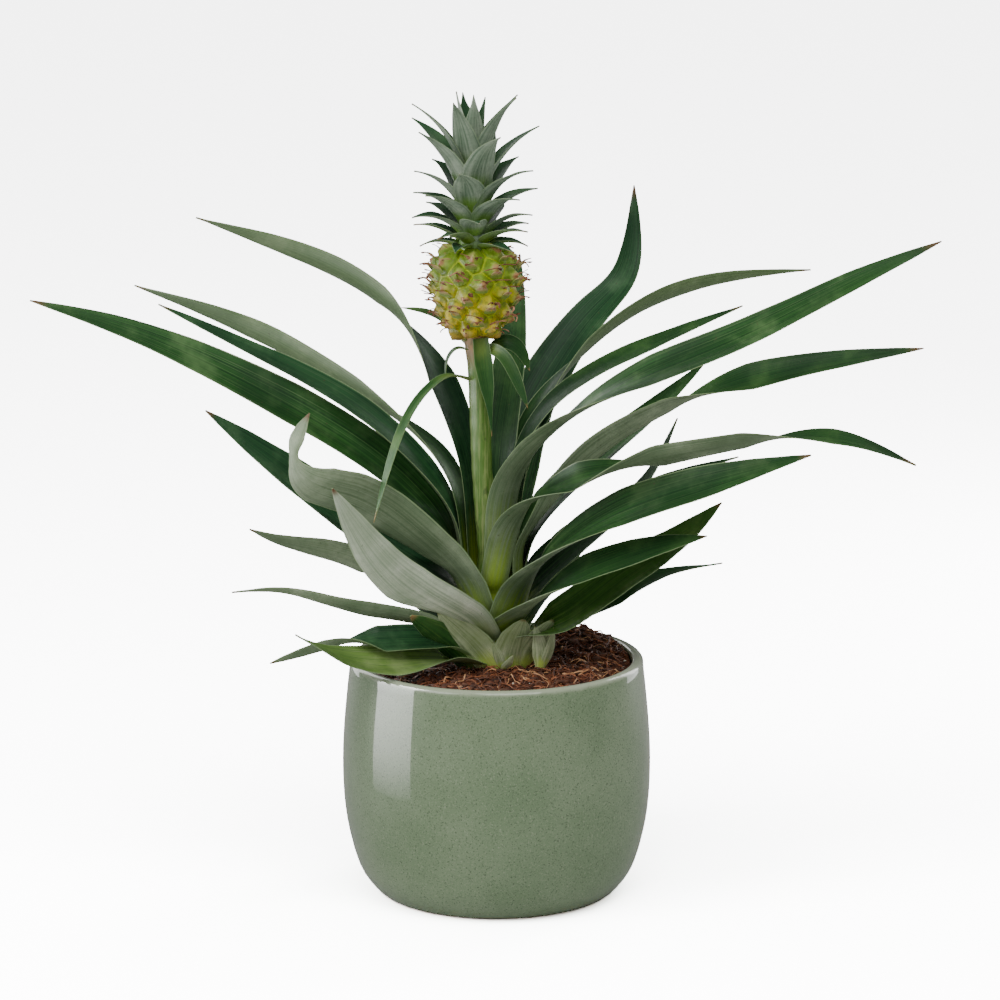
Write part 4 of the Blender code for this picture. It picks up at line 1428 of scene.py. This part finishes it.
@dataclass
class Fruit:
    """The barrel-shaped fruit: spiral eyes with seams between them, and a dry curled bract on each."""

    x: float = -11.0
    outline: tuple[Point, ...] = (
        (293.4, 0.1), (293.4, 4.0), (294.4, 8.0), (297.8, 12.6), (304.2, 16.8), (314.0, 20.2), (323.0, 21.6),
        (330.5, 20.6), (336.8, 16.2), (340.0, 9.4), (340.2, 0.1))
    eyes: int = 50
    first_eye: float = 62.0
    eye_foot: float = 294.0
    eye_rise: float = 44.5
    husk_steps: int = 7
    husk_lean: float = 34.0
    rows: int = 150
    columns: int = 260
    swell: float = 1.35
    beak: float = 3.6
    grain: float = 0.35
    draws: random.Random = field(default_factory=lambda: random.Random(23))

    def centres(self) -> list[Point]:
        """The eyes' (azimuth, height) places along one rising spiral."""
        places = []
        for n in range(self.eyes):
            share = (n + 0.5) / self.eyes
            azimuth = math.radians(GOLDEN_ANGLE * n + self.first_eye)
            places.append((azimuth, self.eye_foot + self.eye_rise * share))
        return places

    def radius(self, height: float) -> float:
        """The barrel's radius at a height."""
        heights = [z for z, _ in self.outline[1:-1]]
        return float(np.interp(height, heights, [r for _, r in self.outline[1:-1]]))

    def relief(self, eyes: Sequence[Point], angle: float, height: float) -> tuple[float, float, float]:
        """How far the skin stands out at a place.

        Args:
            eyes: The eyes' azimuths and heights.
            angle: The azimuth in radians.
            height: The height in millimetres.

        Returns:
            The rise, the nearness of a seam and the nearness of an eye's middle.
        """
        radius = self.radius(height)
        near = []
        for azimuth, middle in eyes:
            turn = (angle - azimuth + math.pi) % (2 * math.pi) - math.pi
            side, up = turn * (radius + 2), (height - middle) * 1.22
            near.append((math.hypot(side, up), side, up))
        near.sort()
        (first, side, up), second = near[0], near[1][0]
        gap = second - first
        dome = smooth_step(0, 3.6, gap)
        peak = max(0.0, 1 - math.hypot(side, up - 0.6) / 5.4) ** 1.5
        keel = max(0.0, 1 - abs(side) / 1.6) * smooth_step(5.5, 1.0, abs(up - 1.5)) * 0.5
        fold = max(0.0, 1 - abs(gap - 2.1) / 1.2) * 0.25
        brow = abs(up + 1.4 + 0.35 * abs(side))
        lip = smooth_step(1.2, -0.2, brow) * smooth_step(4.6, 3.0, abs(side)) * 0.7
        rise = self.swell * dome + (self.beak * peak + keel + lip) * dome + fold
        return rise - 0.9, 1 - smooth_step(0.2, 1.5, gap), smooth_step(5.0, 0.8, first)

    def skin(self, material: bpy.types.Material) -> None:
        """Model and dress the skin."""
        eyes = self.centres()
        heights = np.array([z for z, _ in self.outline])
        radii = np.array([r for _, r in self.outline])
        lengths = np.concatenate(([0], np.cumsum(np.hypot(np.diff(heights), np.diff(radii)))))
        even = np.linspace(0, lengths[-1], self.rows)
        level, round_radius = np.interp(even, lengths, heights), np.interp(even, lengths, radii)
        for _ in range(6):
            level[1:-1] = (level[:-2] + 2 * level[1:-1] + level[2:]) / 4
            round_radius[1:-1] = (round_radius[:-2] + 2 * round_radius[1:-1] + round_radius[2:]) / 4
        rows, marks = [], []
        for i in range(self.rows):
            slope = np.array((level[min(i + 1, self.rows - 1)] - level[max(i - 1, 0)],
                              round_radius[max(i - 1, 0)] - round_radius[min(i + 1, self.rows - 1)]))
            out, up = slope / (np.linalg.norm(slope) + 1e-9)
            ring, ring_marks = [], []
            fade = min(1.0, round_radius[i] / 9)
            for k in range(self.columns + 1):
                angle = 2 * math.pi * (k % self.columns) / self.columns
                rise, seam, middle = self.relief(eyes, angle, level[i])
                spot = Vector((math.cos(angle) * 4, math.sin(angle) * 4, level[i] / 5))
                rise = (rise + self.grain * noise.fractal(spot, 0.6, 2, 3)) * fade
                reach = round_radius[i] + rise * out
                ring.append((self.x + reach * math.cos(angle), reach * math.sin(angle), level[i] + rise * up))
                ring_marks.append((seam, middle))
            rows.append(ring)
            marks.append(ring_marks)
        for number in (0, -1):
            marks[number] = [(0.0, 0.0)] * (self.columns + 1)
            rows[number] = [(self.x, 0.0, rows[number][0][2])] * (self.columns + 1)
        skin = shaped_grid("fruit_skin_eyes", np.array(rows))
        flat = np.array(marks)
        layer = skin.data.uv_layers.active.data
        for slot, name in enumerate(("seam", "middle")):
            values = np.zeros(len(skin.data.vertices))
            for loop in skin.data.loops:
                u, v = layer[loop.index].uv
                row, column = round(v * (self.rows - 1)), round((1 - u) * self.columns)
                values[loop.vertex_index] = flat[row, column, slot]
            skin.data.attributes.new(name, "FLOAT", "POINT").data.foreach_set("value", values)
        close_seams(skin)
        skin.data.materials.append(material)
        bpy.ops.object.shade_smooth()
        dress(skin, "fruit", "fruit")

    def husk(self, azimuth: float, height: float, length: float, width: float, lift: float,
             twist: float) -> np.ndarray:
        """One bract as a narrow sheet that lies on its eye and curls away at the tip.

        Args:
            azimuth: Its azimuth in radians.
            height: The height of its foot.
            length: Its length.
            width: Its greatest width.
            lift: How far its tip curls away from the skin, in radians.
            twist: How far it bends sideways, in radians.

        Returns:
            Rows along by columns across of points.
        """
        reach, level = self.radius(height) + 1.5, height
        rows = []
        for i in range(self.husk_steps + 1):
            share = i / self.husk_steps
            lean = math.radians(self.husk_lean) + lift * share ** 1.2
            turn = azimuth + twist * share ** 2 * 0.2
            half = width / 2 * (1 - share ** 1.3) * (0.85 + 0.3 * math.sin(math.pi * share)) + 0.08
            row = []
            for side in (-1, -0.4, 0.4, 1):
                curl = 0.22 * (1 - abs(side)) * width
                row.append(((reach + curl) * math.cos(turn) - side * half * math.sin(turn) + self.x,
                            (reach + curl) * math.sin(turn) + side * half * math.cos(turn), level))
            rows.append(row)
            reach += length / self.husk_steps * math.sin(lean)
            level += length / self.husk_steps * math.cos(lean)
        return np.array(rows)[:, ::-1]

    def husks(self, materials: Sequence[bpy.types.Material]) -> None:
        """Model and dress the bracts of all the eyes.

        Args:
            materials: The broad bracts' finish and the dry strands' two finishes.
        """
        def each(kind: HuskKind) -> Iterator[bpy.types.Object]:
            """One bract or strand after another."""
            for azimuth, height in self.centres():
                for _ in range(kind.count):
                    foot = height - self.draws.uniform(*kind.drop)
                    piece = shaped_grid("husk", self.husk(
                        azimuth + self.draws.uniform(-0.04, 0.04) * kind.scatter, foot,
                        self.draws.uniform(*kind.length), self.draws.uniform(*kind.width),
                        self.draws.uniform(*kind.lift), self.draws.uniform(-0.6, 0.6) * kind.twist))
                    finish = 1 + self.draws.randrange(2) if kind.dry else 0
                    piece.data.materials.append(materials[finish])
                    yield piece

        for kind in (BROAD_BRACT, DRY_STRAND):
            husks = gather(each(kind), kind.name)
            stiffen(husks, kind.thickness)
            bpy.ops.object.shade_smooth_by_angle(angle=math.radians(50))
            dress(husks, "fruit", "fruit")

    def build(self) -> None:
        """Model and dress the fruit."""
        self.skin(FruitFinish().make())
        self.husks((HuskFinish().make(),
                    PlainFleckFinish("husk_brown", srgb(146, 96, 68), srgb(104, 64, 46), 0.75).make(),
                    PlainFleckFinish("husk_pink", srgb(196, 146, 114), srgb(150, 98, 72), 0.75).make()))


# ---------------------------------------------------------------- crown

@dataclass(frozen=True)
class Tier:
    """A ring of crown leaves: its height and radius, and the leaves' length, lean and width."""

    height: float
    radius: float
    length: float
    start_lean: float
    end_lean: float
    width: float
    leaves: int = 5


@dataclass
class Crown:
    """The crown: tiers of short leaves that clasp a core, upright above and arching outwards below."""

    x: float = -11.3
    lean: float = -0.027
    base: float = 339.3
    top: float = 386.0
    turn: float = 29.5
    stations: int = 34
    columns: int = 11
    thickness: float = 0.8
    core_sides: int = 36
    length_change: Point = (0.9, 1.06)
    width_change: Point = (0.9, 1.08)
    lean_change: float = 7.0
    swing: float = 9.0
    roll: float = 9.0
    stray: float = 8.0
    tiers: tuple[Tier, ...] = (
        Tier(340.2, 9.4, 20, 66, 122, 10.0, 6), Tier(343.0, 9.0, 26, 52, 106, 12.0),
        Tier(347.0, 8.5, 29, 42, 98, 14.0), Tier(352.0, 8.0, 32, 32, 92, 15.5),
        Tier(358.5, 7.4, 37, 22, 82, 16.5), Tier(365.5, 6.8, 48, 16, 66, 17.5),
        Tier(373.0, 6.0, 53, 8, 56, 18.0), Tier(378.5, 4.2, 40, 3, 16, 15.5, 4))
    width_along: tuple[Point, ...] = (
        (0, 0.95), (0.15, 1.04), (0.35, 1.0), (0.55, 0.8), (0.72, 0.48), (0.87, 0.2), (1, 0.02))
    arc_along: tuple[Point, ...] = ((0, 54), (0.3, 42), (0.6, 32), (1, 16))
    draws: random.Random = field(default_factory=lambda: random.Random(5))

    def axis(self, height: float) -> float:
        """Where the crown's axis passes at a height."""
        return self.x + self.lean * (height - self.base)

    def sheet(self, tier: Tier, azimuth: float) -> np.ndarray:
        """The points of one crown leaf's middle surface.

        Args:
            tier: The leaf's tier.
            azimuth: Its azimuth in degrees.

        Returns:
            Rows along by columns across of points.
        """
        length = tier.length * self.draws.uniform(*self.length_change)
        extra = self.draws.uniform(-self.lean_change, self.lean_change)
        swing = self.draws.uniform(-self.swing, self.swing)
        roll = self.draws.uniform(-self.roll, self.roll)
        width = tier.width * self.draws.uniform(*self.width_change)
        share = np.linspace(0, 1, self.stations)
        leans = np.radians(tier.start_lean + (tier.end_lean + extra - tier.start_lean) * share ** 1.15)
        step = length / (self.stations - 1)
        reach, level = tier.radius - 1.0, tier.height
        rows = []
        for i in range(self.stations):
            angle = math.radians(azimuth + swing * share[i] ** 2)
            out = np.array((math.cos(angle), math.sin(angle), 0.0))
            across = np.array((-math.sin(angle), math.cos(angle), 0.0))
            tangent = out * math.sin(leans[i]) + np.array((0, 0, 1.0)) * math.cos(leans[i])
            centre = np.array((self.axis(level), 0.0, level)) + out * reach
            wide = width * along_table(self.width_along, share[i])
            wave = 1 + 0.05 * math.sin(share[i] * 9 + azimuth)
            rows.append(channel_section(centre, tangent, across, wide * wave,
                                        along_table(self.arc_along, share[i]), roll * share[i],
                                        self.columns))
            reach += step * math.sin(leans[i])
            level += step * math.cos(leans[i])
        return np.array(rows)

    def core(self, material: bpy.types.Material) -> None:
        """Model and dress the core that the leaves sit on."""
        outline = [(0.0, self.base), (self.tiers[0].radius - 1.0, self.base),
                   *((tier.radius - 1.1, tier.height - 0.3) for tier in self.tiers[1:]), (2.0, self.top),
                   (0.0, self.top)]
        turns = [2 * math.pi * k / self.core_sides for k in range(self.core_sides + 1)]
        rows = [[(self.axis(z) + r * math.cos(turn), r * math.sin(turn), z) for turn in turns]
                for r, z in outline]
        core = shaped_grid("crown_heart", np.array(rows))
        close_seams(core)
        core.data.materials.append(material)
        bpy.ops.object.shade_smooth_by_angle(angle=math.radians(50))
        dress(core, "crown", "crown_core")

    def build(self) -> None:
        """Model and dress the crown."""
        inner = LeafFinish("crown_inner", srgb(44, 84, 50), srgb(96, 130, 88), srgb(24, 56, 34),
                           base=srgb(120, 156, 60), lines=11.0).make()
        outer = LeafFinish("crown_outer", srgb(152, 170, 146), srgb(194, 206, 182), srgb(84, 110, 84),
                           base=srgb(116, 162, 52), lines=11.0, stripe=0.8, base_end=0.34, dust=0.45,
                           roughness=0.42, tip=srgb(120, 96, 70)).make()
        dry = LeafFinish("crown_outer_dry", srgb(128, 156, 100), srgb(168, 186, 136), srgb(86, 116, 64),
                         base=srgb(134, 170, 50), lines=15.0, stripe=0.6, base_end=0.4, dust=0.45,
                         roughness=0.5, tip=srgb(186, 110, 66), tip_start=0.7).make()
        edge = PlainFleckFinish("crown_margin", srgb(134, 150, 118), srgb(108, 128, 96), 0.55).make()
        self.core(outer)
        for number, tier in enumerate(self.tiers):
            leaves = []
            for k in range(tier.leaves):
                azimuth = self.turn * number + 360 * k / tier.leaves
                azimuth += self.draws.uniform(-self.stray, self.stray)
                leaf = shaped_grid("crown_leaf", self.sheet(tier, azimuth))
                thicken(leaf, self.thickness, (inner, dry if number < 2 else outer, edge))
                leaves.append(leaf)
            ring = join(leaves, f"crown_leaves_{number + 1}")
            dress(ring, "crown", f"crown_tier_{number + 1}")


# ---------------------------------------------------------------- studio

@dataclass
class Studio:
    """Pale floor, white surroundings, soft boxes and the camera."""

    camera_place: Point = (0.0018, -2.7, 0.810)
    target: Point = (0.0018, 0.0, 0.2074)
    lens: float = 193.1
    surroundings: float = 0.45
    surroundings_mirrored: float = 0.16
    floor_bounce: Colour = (0.75, 0.75, 0.75)
    floor_mirrored: Colour = (0.42, 0.43, 0.40)
    floor_seen: Colour = (12.0, 12.0, 12.0)

    def soft_box(self, name: str, place: Point, aim: Point, size: Point, power: float) -> bpy.types.Object:
        """Add a rectangular area light.

        Args:
            name: The light's name.
            place: Where it stands.
            aim: What it points at.
            size: Its width and height in metres.
            power: Its power in watts.

        Returns:
            The light.
        """
        light = bpy.data.lights.new(name, "AREA")
        light.shape = "RECTANGLE"
        light.size, light.size_y = size
        light.energy = power
        lamp = bpy.data.objects.new(name, light)
        bpy.context.scene.collection.objects.link(lamp)
        lamp.location = place
        lamp.rotation_euler = facing(place, aim)
        lamp.visible_camera = False
        return lamp

    def fade(self, light: bpy.types.Light, foot: float) -> None:
        """Dim a rectangular light towards its lower edge.

        Args:
            light: The light.
            foot: The share of its strength that is left at the lower edge.
        """
        light.use_nodes = True
        tree = light.node_tree
        shape = tree.nodes.new("ShaderNodeNewGeometry")
        parts = tree.nodes.new("ShaderNodeSeparateXYZ")
        tree.links.new(shape.outputs["Parametric"], parts.inputs[0])
        rise = Socket(tree, parts.outputs["Y"])
        level = (rise * (1 - foot) + foot) * 1.5
        tree.links.new(level.link, tree.nodes["Emission"].inputs["Strength"])

    def build(self) -> None:
        """Set up the floor, the lights and the camera."""
        deselect()
        bpy.ops.mesh.primitive_plane_add(size=14, location=(0, 0, -0.0002))
        floor = bpy.context.object
        floor.name = "studio_floor"
        bpy.ops.object.transform_apply(location=True, rotation=True, scale=True)
        pale = Finish("studio_white")
        path = pale.node("ShaderNodeLightPath")
        bounced = pale.blend(pale.out(path, "Is Glossy Ray"), self.floor_bounce, self.floor_mirrored)
        seen = pale.blend(pale.out(path, "Is Camera Ray"), bounced, self.floor_seen)
        floor.data.materials.append(pale.done(seen, 0.9, Specular_IOR_Level=0.1))
        floor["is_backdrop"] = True
        world = bpy.data.worlds.new("studio_world")
        bpy.context.scene.world = world
        world.use_nodes = True
        background = world.node_tree.nodes["Background"]
        background.inputs["Color"].default_value = (1, 1, 1, 1)
        path = world.node_tree.nodes.new("ShaderNodeLightPath")
        level = Socket(world.node_tree, path.outputs["Is Glossy Ray"]) * (
            self.surroundings_mirrored - self.surroundings) + self.surroundings
        world.node_tree.links.new(level.link, background.inputs["Strength"])
        self.soft_box("left_box", (-0.95, -0.7, 0.95), (0, 0, 0.2), (0.8, 0.8), 9)
        self.soft_box("key_box", (0.25, -0.9, 1.7), (0, 0, 0.2), (1.2, 1.0), 17)
        self.soft_box("back_right_box", (0.8, 0.75, 0.55), (0, 0, 0.2), (0.35, 0.9), 3)
        for name, place, size, power, foot in (
                ("left_reflection", (-0.270, -0.070, 0.185), (0.172, 0.37), 4.4, 0.02),
                ("left_edge", (-0.52, 0.74, 0.45), (0.50, 0.90), 3.6, 0.8),
                ("right_edge", (0.71, 0.55, 0.45), (0.34, 0.90), 2.4, 0.8)):
            glow = self.soft_box(name, place, (0, 0, place[2]), size, power)
            glow.visible_diffuse = False
            self.fade(glow.data, foot)
        camera = bpy.data.cameras.new("studio_camera")
        camera.lens = self.lens
        camera.sensor_width = 36
        eye = bpy.data.objects.new("studio_camera", camera)
        bpy.context.scene.collection.objects.link(eye)
        eye.location = self.camera_place
        eye.rotation_euler = facing(self.camera_place, self.target)
        bpy.context.scene.camera = eye


def main() -> None:
    """Build every sub-assembly and measure the model's size beside the CAD's."""
    logging.basicConfig(level=logging.INFO, format="%(name)s %(message)s")
    Pot().build(GlazeFinish().make(), BareClayFinish().make())
    Soil().build()
    FlowerStalk().build()
    Rosette().build()
    Fruit().build()
    Crown().build()
    Studio().build()
    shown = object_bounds()
    sizes = {name: [list(corner) for corner in box] for name, box in (("cad", CAD_BOX), ("visual", shown))}


if __name__ == "__main__":
    main()
